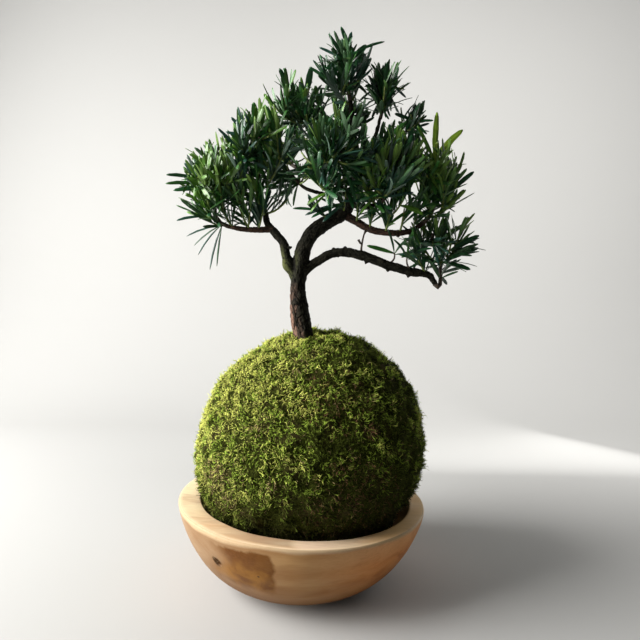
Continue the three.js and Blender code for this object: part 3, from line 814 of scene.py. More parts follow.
# Single leaves that stand out, as (foot, tip, half width, arch, tint).
leadLeaves = {
    "leaves_far_left": [
        ((-0.083, -0.014, 0.340), (-0.116, -0.014, 0.330), 0.0011, 0.004, "leavesBlue"),
        ((-0.083, -0.014, 0.340), (-0.110, -0.008, 0.322), 0.0010, 0.004, "leavesDeep"),
        ((-0.083, -0.014, 0.339), (-0.104, -0.016, 0.312), 0.0011, 0.004, "leavesBlue"),
        ((-0.082, -0.014, 0.339), (-0.092, -0.018, 0.298), 0.0011, 0.003, "leavesBlue"),
        ((-0.082, -0.013, 0.339), (-0.087, -0.010, 0.302), 0.0010, 0.002, "leavesDeep"),
        ((-0.103, -0.014, 0.385), (-0.1314, -0.030, 0.3848), 0.0024, 0.003, "leavesDeep"),
        ((-0.100, -0.014, 0.381), (-0.1312, -0.032, 0.3760), 0.0024, 0.003, "leavesGreen"),
        ((-0.097, -0.014, 0.378), (-0.1263, -0.024, 0.3718), 0.0027, 0.002, "leavesDeep"),
        ((-0.100, -0.010, 0.350), (-0.1241, -0.020, 0.3440), 0.0017, 0.003, "leavesBlue"),
    ],
    "leaves_left": [
        ((-0.049, -0.010, 0.438), (-0.053, -0.012, 0.461), 0.0032, 0.001, "leavesGreen"),
    ],
    "leaves_upper_left": [
        ((-0.017, -0.006, 0.472), (-0.029, -0.010, 0.495), 0.0031, 0.002, "leavesDeep"),
        ((-0.003, 0.000, 0.476), (0.002, 0.000, 0.502), 0.0033, 0.001, "leavesDeep"),
    ],
    "leaves_top": [
        ((0.046, 0.000, 0.510), (0.074, 0.000, 0.528), 0.0016, 0.004, "leavesDeep"),
        ((0.039, -0.004, 0.511), (0.0305, -0.006, 0.5385), 0.0026, 0.001, "leavesDeep"),
        ((0.041, 0.000, 0.512), (0.0412, 0.000, 0.5370), 0.0023, 0.001, "leavesBlue"),
        ((0.034, -0.006, 0.505), (0.0184, -0.006, 0.5314), 0.0024, 0.001, "leavesDeep"),
        ((0.030, -0.006, 0.505), (0.0092, -0.006, 0.5182), 0.0022, 0.001, "leavesBlue"),
        ((0.0195, -0.006, 0.487), (0.000, -0.006, 0.4988), 0.0024, 0.001, "leavesDeep"),
        ((0.040, -0.004, 0.504), (0.0557, -0.004, 0.5224), 0.0026, 0.002, "leavesDeep"),
    ],
    "leaves_front_right": [
        ((0.066, -0.020, 0.421), (0.094, -0.020, 0.442), 0.0026, 0.002, "leavesGreen"),
        ((0.055, -0.025, 0.409), (0.074, -0.026, 0.423), 0.0028, 0.002, "leavesYoung"),
        ((0.074, -0.042, 0.369), (0.089, -0.048, 0.382), 0.0029, 0.002, "leavesBlue"),
        ((0.086, -0.028, 0.361), (0.109, -0.034, 0.351), 0.0028, 0.003, "leavesYoung"),
        ((0.061, -0.030, 0.362), (0.033, -0.030, 0.363), 0.0019, 0.002, "leavesBlue"),
    ],
    "leaves_right": [
        ((0.122, -0.014, 0.408), (0.124, -0.016, 0.453), 0.0031, 0.001, "leavesBright"),
        ((0.121, -0.014, 0.408), (0.105, -0.018, 0.439), 0.0024, 0.001, "leavesYoung"),
        ((0.127, -0.012, 0.409), (0.150, -0.012, 0.438), 0.0030, 0.002, "leavesBright"),
        ((0.146, -0.008, 0.378), (0.163, -0.008, 0.399), 0.0024, 0.001, "leavesDeep"),
    ],
    "leaves_low_right": [
        ((0.086, -0.010, 0.317), (0.059, -0.014, 0.324), 0.0025, 0.001, "leavesGreen"),
        ((0.086, -0.010, 0.318), (0.079, -0.016, 0.339), 0.0013, 0.003, "leavesDeep"),
        ((0.087, -0.010, 0.317), (0.104, -0.018, 0.334), 0.0014, 0.005, "leavesDeep"),
        ((0.087, -0.010, 0.316), (0.110, -0.014, 0.311), 0.0013, 0.006, "leavesBlue"),
        ((0.098, -0.012, 0.313), (0.084, -0.018, 0.330), 0.0014, 0.004, "leavesDeep"),
        ((0.098, -0.012, 0.314), (0.104, -0.018, 0.341), 0.0015, 0.003, "leavesGreen"),
        ((0.099, -0.012, 0.313), (0.121, -0.018, 0.322), 0.0014, 0.005, "leavesDeep"),
        ((0.137, 0.000, 0.311), (0.164, 0.000, 0.304), 0.0026, 0.002, "leavesDeep"),
        ((0.139, 0.000, 0.323), (0.172, 0.000, 0.338), 0.0026, 0.002, "leavesDeep"),
        ((0.143, 0.002, 0.317), (0.173, 0.004, 0.326), 0.0024, 0.002, "leavesDeep"),
    ],
    "leaves_front": [
        ((0.028, -0.020, 0.358), (-0.001, -0.022, 0.351), 0.0021, 0.003, "leavesBlue"),
        ((0.032, -0.022, 0.357), (0.005, -0.026, 0.348), 0.0019, 0.003, "leavesDeep"),
        ((0.034, -0.022, 0.356), (0.016, -0.028, 0.344), 0.0019, 0.002, "leavesBlue"),
        ((0.010, -0.020, 0.356), (-0.013, -0.020, 0.3575), 0.0018, 0.002, "leavesDeep"),
    ],
}
# Small twigs with few leaves or none on the long right bough, as (foot, bend, tip, radius at the foot,
# radius at the tip).
bareTwigs = [
    ((0.0537, -0.0110, 0.3180), (0.0540, -0.0125, 0.3290), (0.0575, -0.0120, 0.3395), 0.0011, 0.0007),
    ((0.0558, -0.0120, 0.3345), (0.0580, -0.0125, 0.3385), (0.0625, -0.0120, 0.3418), 0.0008, 0.0006),
    ((0.0542, -0.0120, 0.3260), (0.0520, -0.0130, 0.3265), (0.0508, -0.0130, 0.3300), 0.0009, 0.0012),
    ((0.0800, -0.0090, 0.3070), (0.0885, -0.0120, 0.3105), (0.0860, -0.0110, 0.3180), 0.0011, 0.0007),
    ((0.1050, -0.0060, 0.3005), (0.0970, -0.0120, 0.3050), (0.0985, -0.0120, 0.3140), 0.0011, 0.0007),
]
crown = {
    "heart": (0.035, 0.005, 0.38),  # shoots grow away from here
    "facingFrom": (0.035, 0.160, 0.36),  # leaves face away from here
    "beadStep": 0.002,
    "domeTop": 1.0,
    "tilt": 0.5,  # how far a dome leans away from the heart of the crown
    "stemBend": 0.45,
    "stemForks": (0.33, 0.6, 0.83, 0.97),
    "stemTipRadius": 0.0013,
    "twigForks": (0.37, 0.68),
    "twigFootRadius": 0.0012,
    "twigTipRadius": 0.0007,
    "twigSpread": 0.3,
    "fineTwig": 0.8,
    "clear": 0.002,
    # the lowest height on the dome, the nearest and furthest share of its size, the shortest shoot,
    # how far below its tip a shoot forks off, and where the spiral of tips starts
    "firstShoots": {"foot": -0.45, "near": 0.85, "far": 1.1, "shortest": 0.008, "rise": 0, "start": 0},
    "finerShoots": {"foot": -0.40, "near": 0.60, "far": 1.0, "shortest": 0.016, "rise": 0.020, "start": 2.1},
    "finerShare": 4.2,  # finer shoots tried for each of the first ones
    "sag": 0.26,  # a shoot hangs below its straight line by this share of its length, and turns up
    "leafyStem": 0.5,  # share of a stem that carries leaves
    # openings with sky behind: (x, z) on the upright plane through the origin, seen from the front, radius
    "openings": [
        (-0.006, 0.413, 0.0065), (-0.0015, 0.385, 0.0080), (0.0096, 0.379, 0.0050), (0.0212, 0.460, 0.0050),
        (0.0654, 0.444, 0.0070), (0.1075, 0.385, 0.0055), (0.0389, 0.4735, 0.0030), (-0.0169, 0.4045, 0.0050),
        (0.1220, 0.324, 0.0040), (0.1445, 0.325, 0.0045), (0.1510, 0.352, 0.0040), (0.1320, 0.4380, 0.0035),
        (0.0900, 0.3600, 0.0030), (-0.0250, 0.4300, 0.0030), (0.0500, 0.4250, 0.0030),
    ],
}
massNames = list(masses)
hearts = np.array([mass["heart"] for mass in masses.values()])
heartSizes = np.array([sum(mass["spread"]) / 3 for mass in masses.values()])


# A mass keeps to the space nearer to its own heart than to any other. A big mass is given more.
def inOwnSpace(which, spots, reach):
    power = ((spots[:, None] - hearts[None]) ** 2).sum(-1) - heartSizes**2
    apart = np.linalg.norm(hearts - hearts[which], axis=1)
    apart[which] = 1
    room = (power - power[:, which:which + 1]) / (2 * apart)
    room[:, which] = np.inf
    return room.min(axis=1) > reach


# The stem of a mass runs on from the tip of its limb and turns up to the heart.
def stemOf(mass):
    limb = limbPath(mass["on"])
    onward = headingAt(limb, 1)[0]
    foot = limb(1)[0]
    heart = np.array(mass["heart"])
    bend = foot + onward * np.linalg.norm(heart - foot) * crown["stemBend"]
    return foot, bend, heart


# Spots along all wood as (x, y, z, radius, which): the number of the stem's mass, or -1 for a limb.
def woodBeads():
    rows = []
    for name in limbs:
        path = limbPath(name)
        shares = evenShares(path, crown["beadStep"])
        rows.append(np.column_stack([path(shares), limbRadius(name, shares), np.full(len(shares), -1)]))
    for i, mass in enumerate(masses.values()):
        path = bentPath(*stemOf(mass))
        shares = evenShares(path, crown["beadStep"])
        radius = limbs[mass["on"]][-1][3]
        rows.append(np.column_stack([path(shares), np.full(len(shares), radius), np.full(len(shares), i)]))
    return np.vstack(rows)


woodRows = woodBeads()


def clearOfWood(which, spots, reach):
    others = woodRows[woodRows[:, 4] != which]
    away = np.linalg.norm(spots[:, None] - others[None, :, :3], axis=-1) - others[None, :, 3]
    return away.min(axis=1) > reach


def turnTo(pole):
    return np.array(Vector(up).rotation_difference(Vector(pole)).to_matrix())


# Draws the tip of a shoot in until its top leaves end within the mass's reach.
def drawnIn(tip, heart, reach):
    for _ in range(12):
        if np.linalg.norm((tip + up * leaf["length"] * 0.55 - heart) / reach) < 1:
            break
        tip = lerp(tip, heart, 0.1)
    return tip


# The shoots of a mass as (start, tip, isFine, age). Each starts from the nearest wood already grown,
# the finer ones from the wood nearest to a spot below their tip.
def shootsOf(which, name, mass):
    draw = seeded(mass["seed"])
    heart = np.array(mass["heart"])
    spread = np.array(mass["spread"])
    main = bentPath(*stemOf(mass))
    wood = list(main(crown["stemForks"]))
    turn = turnTo(unit(crown["tilt"] * unit(heart - crown["heart"]) + up))
    shoots = []

    def grow(count, rule, apart, isFine):
        for i in range(count):
            height = lerp(crown["domeTop"], rule["foot"], (i + 0.5) / count)
            ring = math.sqrt(1 - height * height)
            angle = i * goldenAngle + mass["seed"] + rule["start"]
            onDome = np.array([ring * math.cos(angle), ring * math.sin(angle), height])
            out = turn @ onDome * spread * lerp(rule["near"], rule["far"], draw())
            tip = drawnIn(out + heart, heart, mass["reach"])
            start = min(wood, key=lambda spot: np.linalg.norm(spot - tip + up * rule["rise"]))
            path = start + (tip - start) * np.linspace(1 / 6, 1, 6)[:, None]
            length = np.linalg.norm(tip - start)
            if length < rule["shortest"] or not inOwnSpace(which, path, crown["clear"]).all():
                continue
            if not clearOfWood(which, path, crown["clear"]).all():
                continue
            if any(np.linalg.norm(tip - other[1]) < apart for other in shoots):
                continue
            shoots.append((start, tip, isFine, None))
            wood.extend(start + (tip - start) * share for share in crown["twigForks"])

    grow(mass["shoots"], crown["firstShoots"], 0, False)
    for start, tip, age in leadShoots.get(name, ()):
        near = np.vstack([woodRows[:, :3], wood])
        start, tip = near[np.linalg.norm(near - start, axis=1).argmin()], np.array(tip)
        shoots = [other for other in shoots if np.linalg.norm(tip - other[1]) > mass["apart"]]
        shoots.append((start, tip, True, age))
        wood.extend(start + (tip - start) * share for share in crown["twigForks"])
    grow(round(mass["shoots"] * crown["finerShare"]), crown["finerShoots"], mass["apart"], True)
    return shoots


leaf = {
    "length": 0.0280,
    "halfWidth": 0.0018,
    "halfThick": 0.00048,
    "cuts": (0.12, 0.36, 0.68, 0.91),
    "outline": ((0, 0.24), (0.12, 0.54), (0.36, 0.90), (0.68, 1.0), (0.91, 0.72), (1, 0.24)),
    "spacing": 0.0015,  # from one leaf to the next along a shoot
    "fewest": 17,
    "leafy": 0.056,  # length of shoot that carries them
    "topRoot": 0.0006,
    "lowAngle": 1.15,  # from the shoot, at the foot of the leafy length
    "topAngle": 0.22,
    "angleSpread": 0.55,
    "turnSpread": 0.9,
    "lengthAlong": ((0, 0.80), (0.35, 1.06), (0.75, 1.08), (1, 0.84)),
    "lengthSpread": 0.45,
    "arch": 0.11,
    "lift": 0.26,  # leaves turn up to the light by this much
    "droop": 0.5,  # and the lowest of a shoot hang by this much
    "facing": 0.42,  # how far a leaf turns its upper face outward from the crown
    "mingle": 0.009,  # how far a leaf may reach into the next mass's space
    "beyond": 0.005,  # how far a leaf may reach below the box of the mass's solid
    "leadSlack": 1.2,  # leaves of the listed shoots reach out further by this
    "even": 0.87,  # most leaves end by this share of the reach
    "spiky": 0.33,  # and a few up to this share further out
    "attempts": 3,
    "turn": 1.9,  # a leaf that doesn't fit is turned on by this round its shoot
    "brightSize": 1.2,
    "widthSpread": (0.82, 1.18),
    "twistSpread": 0.9,
    "leadFacing": (0.1, -1.0, 0.35),  # the way the single leaves face
    "leadTwist": 0.2,
}
massBoxes = {name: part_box(name) for name in massNames}
leafSection = ((1, 0.1), (0, 0.9), (-1, 0.1), (0, -0.8))  # margins, midrib and keel


def leafShape(spot):
    corner = round(math.atan2(spot.y, spot.x) / (math.pi / 2)) % 4
    across, over = leafSection[corner] if spot.xy.length > 0.1 else (0, 0)
    wide = float(onLine(spot.z, leaf["outline"]))
    return Vector((across * wide, over * (0.4 + 0.6 * wide), spot.z))


leafSpots, leafFaces = rodTemplate(4, leaf["cuts"], leafShape)


def bentLeaves(roots, along, turns, opens, lengths, lifts, arches):
    sideways = unit(np.cross((0.0, 1.0, 0.0), along))
    behind = np.cross(along, sideways)
    radial = sideways * np.cos(turns)[:, None] + behind * np.sin(turns)[:, None]
    heading = radial * np.sin(opens)[:, None] + along * np.cos(opens)[:, None]
    heading = unit(heading + up * lifts[:, None])
    over = np.cross(heading, unit(np.cross(along, heading)))
    tips = roots + heading * lengths[:, None]
    bends = lerp(roots, tips, 0.6) + over * (lengths * arches)[:, None]
    return bends, tips, acrossOf(heading, tips, over)


# The way across a leaf that turns the face nearer to the outside further outward from the crown.
def acrossOf(heading, tips, over):
    outward = unit(unit(tips - np.array(crown["facingFrom"])) + up * 0.5)
    outward = unit(outward - heading * (outward * heading).sum(-1, keepdims=True))
    side = np.where((over * outward).sum(-1, keepdims=True) < 0, -1, 1)
    return np.cross(unit(lerp(over * side, outward, leaf["facing"])) * side, heading)


# Where spots are seen from the front, on the upright plane through the origin.
def seenFromFront(spots):
    eye = np.array(studio["cameraSpot"])
    away = spots - eye
    return eye[[0, 2]] - away[:, [0, 2]] * eye[1] / away[:, 1:2]


def leavesAreFree(which, roots, bends, tips, slack):
    shares = np.linspace(0.15, 1, 6)
    spots = np.stack([roots * (1 - w) ** 2 + bends * 2 * w * (1 - w) + tips * w**2 for w in shares], axis=1)
    flat = spots.reshape(-1, 3)
    free = inOwnSpace(which, flat, -leaf["mingle"]) & clearOfWood(which, flat, leaf["halfWidth"] * 0.7)
    seen = seenFromFront(flat)
    for x, z, radius in crown["openings"]:
        free &= np.hypot(seen[:, 0] - x, seen[:, 1] - z) > radius
    mass = masses[massNames[which]]
    away = tips - np.array(mass["heart"])
    down = mass["heart"][2] - massBoxes[massNames[which]][0][2] + leaf["beyond"]
    reach = np.tile(np.array(mass["reach"]), (len(tips), 1))
    reach[away[:, 2] < 0, 2] = down
    isInside = np.linalg.norm(away / reach, axis=1) < slack
    return free.reshape(len(roots), -1).all(axis=1) & isInside


# The tint of each leaf along a shoot by its age, as (share from the foot where the tint starts, tint).
tintsByAge = {
    "old": ((0, "leavesDeep"), (0.90, "leavesGreen")),
    "blue": ((0, "leavesBlue"), (0.80, "leavesDeep")),
    "green": ((0, "leavesDeep"), (0.30, "leavesGreen"), (0.86, "leavesYoung")),
    "young": ((0, "leavesDeep"), (0.14, "leavesGreen"), (0.42, "leavesYoung")),
    "bright": ((0, "leavesGreen"), (0.30, "leavesYoung"), (0.66, "leavesBright")),
}
ageChances = (("young", 0.13), ("green", 0.44), ("blue", 0.64), ("old", 1))


# The leaves of one shoot, dealt out by tint. Those that don't fit are turned on and tried again.
def growLeaves(leaves, which, path, leafy, length, age, slack, draw):
    mass = masses[massNames[which]]
    starts, tints = zip(*tintsByAge[age])
    count = max(leaf["fewest"], round(leafy / leaf["spacing"]))
    shares = np.arange(count) / (count - 1)
    places = 1 - lerp(leafy, leaf["topRoot"], shares) / length
    roots, along = path(places), headingAt(path, places)
    draws = np.array([[draw() for _ in range(8)] for _ in shares])
    byAngle, byLength, byLift, byWidth, byTwist, byTurn, byArch, bySlack = draws.T
    opens = lerp(leaf["lowAngle"], leaf["topAngle"], shares**1.1) + (byAngle - 0.5) * leaf["angleSpread"]
    size = onLine(shares, leaf["lengthAlong"]) * (leaf["brightSize"] if age == "bright" else 1)
    lengths = leaf["length"] * size * (1 + (byLength - 0.6) * leaf["lengthSpread"])
    lifts = leaf["lift"] * (byLift * 1.8 - 0.4) - leaf["droop"] * (1 - shares) ** 3 * byArch
    turns = np.arange(count) * goldenAngle + mass["seed"] + (byTurn - 0.5) * leaf["turnSpread"]
    arches = leaf["arch"] * (byArch * 2 - 0.3)
    slacks = slack * (leaf["even"] + leaf["spiky"] * bySlack**2)
    wides = leaf["halfWidth"] * lerp(*leaf["widthSpread"], byWidth) * np.minimum(1, size) ** 0.5
    twists = (byTwist - 0.5) * leaf["twistSpread"]
    pending = np.arange(count)
    for attempt in range(leaf["attempts"]):
        tried = turns + attempt * leaf["turn"]
        rows = [values[pending] for values in (roots, along, tried, opens, lengths, lifts, arches)]
        bends, tips, across = bentLeaves(*rows)
        free = leavesAreFree(which, rows[0], bends, tips, slacks[pending])
        for k in np.flatnonzero(free):
            i = pending[k]
            tint = tints[np.searchsorted(starts, shares[i], side="right") - 1]
            leaves[tint].append((roots[i], bends[k], tips[k], across[k], wides[i], twists[i]))
        pending = pending[~free]
        if len(pending) == 0:
            break


# The single leaves start from the nearest spot on a twig.
def addLeadLeaves(leaves, twigs):
    wood = np.vstack([bentPath(*row[:3])(np.linspace(0, 1, 24)) for row in twigs])
    for rows in leadLeaves.values():
        for foot, tip, wide, arch, tint in rows:
            root = wood[np.linalg.norm(wood - foot, axis=1).argmin()]
            tip = np.array(tip)
            heading = unit(tip - root)
            over = unit(up - heading * heading[2] + up * 0.001)
            across = unit(np.cross(leaf["leadFacing"], heading))
            bend = lerp(root, tip, 0.5) + over * arch
            leaves[tint].append((root, bend, tip, across, wide, leaf["leadTwist"]))


def growCrown():
    stems, shoots = [], []
    leaves = {tint: [] for tint in leafTints}
    for which, (name, mass) in enumerate(masses.items()):
        foot, bend, heart = stemOf(mass)
        stems.append((foot, bend, heart, limbs[mass["on"]][-1][3], crown["stemTipRadius"]))
        draw = seeded(mass["seed"] * 7)
        stem = bentPath(foot, bend, heart)
        length = lengthOf(stem)
        growLeaves(leaves, which, stem, length * crown["leafyStem"], length, "old", 1, draw)
        for start, tip, isFine, age in shootsOf(which, name, mass):
            slack = leaf["leadSlack"] if age else 1
            length = np.linalg.norm(tip - start)
            low = lerp(start, tip, 0.5) - up * length * crown["sag"]
            footRadius = crown["twigFootRadius"] * (1 + crown["twigSpread"] * draw())
            if isFine:
                footRadius *= crown["fineTwig"]
            shoots.append((start, low, tip, footRadius, crown["twigTipRadius"], isFine))
            # painted light: a mass in shade is dealt more of the paler young tints
            chance = draw() ** mass["youthAndLight"]
            age = age or next(kind for kind, limit in ageChances if chance <= limit)
            leafy = min(leaf["leafy"], length * 0.94)
            growLeaves(leaves, which, bentPath(start, low, tip), leafy, length, age, slack, draw)
    addLeadLeaves(leaves, stems + shoots + bareTwigs)
    return stems, shoots, leaves


def leafMaterial(name, colour, roughness, gloss):
    material, add, feed = newMaterial(name, colour, roughness, Specular_IOR_Level=gloss)
    across, along, _ = add("SeparateXYZ", {0: add("UVMap", uv_map="leaf").outputs[0]}).outputs
    fromRib = worked(add, "ABSOLUTE", worked(add, "SUBTRACT", across, 0.5), 0.0)
    rib = ranged(add, fromRib, 0.02, 0.10, 1.0, 0.0)
    shade = ranged(add, cloudy(add, placed(add), 120.0, 3.0), 0.35, 0.65)
    dark, light = tuple(c * 0.7 for c in colour), tuple(c * 1.25 for c in colour)
    base = tinted(add, shade, dark, light)
    base = tinted(add, worked(add, "MULTIPLY", rib, 0.45), base, tuple(c * 2.2 + 0.01 for c in colour))
    feed("Base Color", tinted(add, ranged(add, along, 0.02, 0.30, 0.4, 0.0), base, youngStalk))
    streaks = cloudy(add, placed(add), 700.0, 2.0)
    feed("Normal", bumped(add, worked(add, "ADD", rib, streaks), 0.00012, 0.5))
    return material


youngStalk = (0.07, 0.11, 0.02)  # the paler foot of a leaf
leafTints = {
    "leavesDeep": {"upper": (0.009, 0.066, 0.016), "under": (0.034, 0.082, 0.031), "roughness": 0.37},
    "leavesBlue": {"upper": (0.015, 0.058, 0.038), "under": (0.066, 0.106, 0.078), "roughness": 0.33},
    "leavesGreen": {"upper": (0.028, 0.122, 0.015), "under": (0.056, 0.128, 0.030), "roughness": 0.40},
    "leavesYoung": {"upper": (0.078, 0.190, 0.015), "under": (0.100, 0.180, 0.032), "roughness": 0.42},
    "leavesBright": {"upper": (0.190, 0.310, 0.020), "under": (0.205, 0.295, 0.040), "roughness": 0.42},
}


# Each leaf laid out flat for its rib, with sharp margins and the second material on its under side.
def dressLeaves(mesh, count):
    size = len(leafSpots)
    corners = np.empty(len(mesh.loops), np.int32)
    mesh.loops.foreach_get("vertex_index", corners)
    flat = np.column_stack([leafSpots[:, 0] * 0.5 + 0.5, leafSpots[:, 2]])[corners % size]
    mesh.uv_layers.new(name="leaf").uv.foreach_set("vector", flat.reshape(-1).astype(np.float32))
    ends = np.empty(len(mesh.edges) * 2, np.int32)
    mesh.edges.foreach_get("vertices", ends)
    isMargin = np.abs(np.abs(leafSpots[:, 0]) - onLine(leafSpots[:, 2], leaf["outline"])) < 1e-5
    sharp = isMargin[ends.reshape(-1, 2) % size].all(axis=1)
    mesh.attributes.new("sharp_edge", "BOOLEAN", "EDGE").data.foreach_set("value", sharp)
    isUnder = [np.mean([leafSpots[i][1] for i in face]) < 0 for face in leafFaces]
    mesh.polygons.foreach_set("material_index", np.tile(isUnder, count).astype(np.int32))


def leafPieces(leaves):
    for tint, rows in leaves.items():
        colours = leafTints[tint]
        materials = [leafMaterial(tint + "Upper", colours["upper"], colours["roughness"], 0.7),
                     leafMaterial(tint + "Under", colours["under"], 0.55, 0.25)]
        for name, part in inPieces(tint, rows, leafFaces):
            foot, bend, tip, across, wide, twist = (np.array(column) for column in zip(*part))
            thick = np.full((len(part), 1), leaf["halfThick"])
            copies = bentCopies(leafSpots, foot, bend, tip, across, wide[:, None], thick, twist)
            mesh = joinedMesh(name, copies, leafFaces)
            dressLeaves(mesh, len(part))
            finishPiece(name, mesh, materials, massNames)
            print(name, len(part), "leaves")


twigTints = {
    "brownTwig": {"plain": (0.11, 0.075, 0.045), "dark": (0.022, 0.016, 0.010),
                  "light": (0.075, 0.050, 0.032), "roughness": 0.75, "grain": (500.0, 4.0),
                  "bump": (0.0003, 0.8)},
    "greenShoot": {"plain": (0.12, 0.19, 0.035), "dark": (0.075, 0.12, 0.018),
                   "light": (0.18, 0.23, 0.045), "roughness": 0.5, "grain": (400.0, 3.0),
                   "bump": (0.0002, 0.6)},
}
twigSpots, twigFaces = rodTemplate(6, (0.2, 0.4, 0.6, 0.8), lambda spot: spot)


def twigMaterial(name):
    tints = twigTints[name]
    material, add, feed = newMaterial(name, tints["plain"], tints["roughness"])
    grain = cloudy(add, placed(add), *tints["grain"])
    feed("Base Color", tinted(add, ranged(add, grain, 0.35, 0.65), tints["dark"], tints["light"]))
    feed("Normal", bumped(add, grain, *tints["bump"]))
    return material


# One piece of thin rods, each a row of (foot, bend, tip, radius at the foot, radius at the tip).
def rodPiece(name, rows, material):
    foot, bend, tip, footRadius, tipRadius = (np.array(column) for column in zip(*rows))
    radius = lerp(footRadius[:, None], tipRadius[:, None], twigSpots[:, 2])
    isDeep = np.abs(unit(tip - foot)[:, 1:2]) >= 0.8
    aside = np.where(isDeep, [[1.0, 0.0, 0.0]], [[0.0, 1.0, 0.0]])
    mesh = joinedMesh(name, bentCopies(twigSpots, foot, bend, tip, aside, radius, radius), twigFaces)
    finishPiece(name, mesh, [twigMaterial(material)], massNames)
    print(name, len(rows), "rods")


# The stretch of a curved rod between two shares of its length, as a row of its own.
def stretchOf(row, low, high):
    first, middle, last = bentPath(*row[:3])([low, (low + high) / 2, high])
    return first, 2 * middle - (first + last) / 2, last, lerp(row[3], row[4], low), lerp(row[3], row[4], high)


# A first shoot is brown below and green where it carries leaves, and a finer one is green all along.
def twigPieces(stems, shoots):
    firstOnes = [row for row in shoots if not row[5]]
    finerOnes = [row[:5] for row in shoots if row[5]]
    brown = bareTwigs + stems + [stretchOf(row, 0, 0.55) for row in firstOnes]
    green = [stretchOf(row, 0.53, 1) for row in firstOnes] + finerOnes
    rodPiece("brownTwigs", brown, "brownTwig")
    rodPiece("greenShoots", green, "greenShoot")


stems, shoots, leaves = growCrown()
twigPieces(stems, shoots)
leafPieces(leaves)

# The ball of moss.
moss = {
    "radius": 0.112,
    "centre": (0.007, 0.0, 0.130),
    "lean": 0.06,  # the top stands further right than the middle, by this share of its height
    "lump": 0.0014,
    "floor": 0.0245,  # the ball rests flat inside the bowl at this level
    "sunk": 0.0026,  # the peat under the moss lies this far below its outer face
    "cushion": 0.0036,
    "cushionSize": 0.012,
    "sprigs": 92000,
    "seed": 41,
    "shake": 0.010,
    "rootHeight": 0.0006,  # above the peat
    "lowest": 0.046,
    "trunkGap": 0.0085,  # no sprig grows this near the trunk's middle, above this level
    "trunkAbove": 0.15,
    "holeScale": 175,
    "holesBelow": -0.28,
    "clumpScale": 240,
    "leanScale": 140,
    "length": 0.0055,
    "halfWidth": 0.00043,
    "together": 2.2,  # how far the sprigs of a clump lean one way
    "tallShare": 0.04,
    "strawShare": 0.03,
    # how fresh and how lit the moss is painted: by how far it faces this way, towards the window, as painted
    # light; by its height, as painted shade towards the bowl; and by how far it faces right, as a painted rim
    # light
    "freshAndLitWay": (-0.85, -0.10, 0.40),
    "freshAndLitFacing": ((-0.9, -0.44), (-0.3, -0.40), (0.1, -0.24), (0.4, 0.05), (0.9, 0.34)),
    "shadeByHeight": ((0.078, -0.5), (0.10, -0.3), (0.14, 0.0)),
    "rimLightRight": ((0.82, 0.0), (0.97, 0.45)),
    "limeAbove": 0.24,
    "greenAbove": -0.16,
    # fresh, browned or bleached places: (x, y, z), radius, share of the sprigs, tint
    "patches": [
        ((-0.025, -0.086, 0.1985), 0.022, 0.75, "mossLime"),
        ((-0.020, -0.102, 0.155), 0.016, 0.6, "mossGreen"),
        ((-0.002, -0.073, 0.2135), 0.010, 0.5, "mossStraw"),
        ((0.017, -0.090, 0.197), 0.005, 0.8, "mossRust"),
        ((0.059, -0.095, 0.162), 0.007, 0.8, "mossRust"),
        ((0.036, -0.108, 0.138), 0.008, 0.7, "mossRust"),
        ((-0.035, -0.100, 0.165), 0.012, 0.5, "mossStraw"),
        ((-0.0205, -0.105, 0.121), 0.006, 0.7, "mossStraw"),
        ((-0.068, -0.080, 0.112), 0.024, 0.6, "mossStraw"),
        ((0.045, -0.095, 0.100), 0.045, 0.35, "mossRust"),
        ((0.030, -0.090, 0.185), 0.030, 0.25, "mossRust"),
        ((0.050, 0.080, 0.180), 0.014, 0.6, "mossRust"),
        ((-0.045, 0.090, 0.130), 0.020, 0.6, "mossStraw"),
        ((0.090, 0.040, 0.120), 0.018, 0.6, "mossRust"),
    ],
    # places where the sprigs stand taller: (x, y, z), radius, how much taller
    "tufts": [
        ((0.0554, -0.020, 0.2330), 0.005, 1.9), ((0.0680, -0.0148, 0.2263), 0.006, 1.9),
        ((0.0750, -0.0316, 0.2172), 0.005, 1.5), ((0.1012, -0.0281, 0.1894), 0.007, 1.5),
        ((0.1090, -0.0436, 0.1193), 0.008, 1.0),
        ((0.010, -0.030, 0.242), 0.007, 1.2), ((-0.012, -0.026, 0.240), 0.008, 0.8),
        ((0.000, -0.034, 0.2405), 0.006, 0.8),
    ],
}
# mossLime goes mostly where the moss faces the window and mossDeep where it faces away, so they carry painted
# light and shade as well as the moss's own colours
mossTints = {
    "mossLime": ((0.78, 0.82, 0.19), 0.85),
    "mossGreen": ((0.36, 0.51, 0.065), 0.85),
    "mossDeep": ((0.095, 0.125, 0.016), 0.9),
    "mossStraw": ((0.44, 0.34, 0.15), 0.9),
    "mossRust": ((0.26, 0.14, 0.070), 0.9),
}
# the colour of the painted shade in the moss
mossGloom = (0.016, 0.011, 0.003)
peatTints = {
    "plain": (0.05, 0.06, 0.015),
    "dark": (0.006, 0.007, 0.001),
    "light": (0.050, 0.060, 0.008),
    "brown": (0.05, 0.032, 0.016),
}


# Spots on the ball for directions from its middle, a depth under its outer face.
def onBall(headings, depth):
    x, y, z = headings.T
    lumps = np.sin(5 * x + 2) * np.cos(4 * y) + np.sin(6 * z + 3 * x) * np.cos(5 * y + 1)
    cushions = cloudAt(headings, moss["radius"] / moss["cushionSize"])
    out = moss["radius"] - depth + moss["lump"] * lumps + moss["cushion"] * cushions
    spots = headings * out[:, None]
    spots[:, 0] += moss["lean"] * spots[:, 2]
    spots += np.array(moss["centre"])
    spots[:, 2] = np.maximum(spots[:, 2], moss["floor"])
    return spots


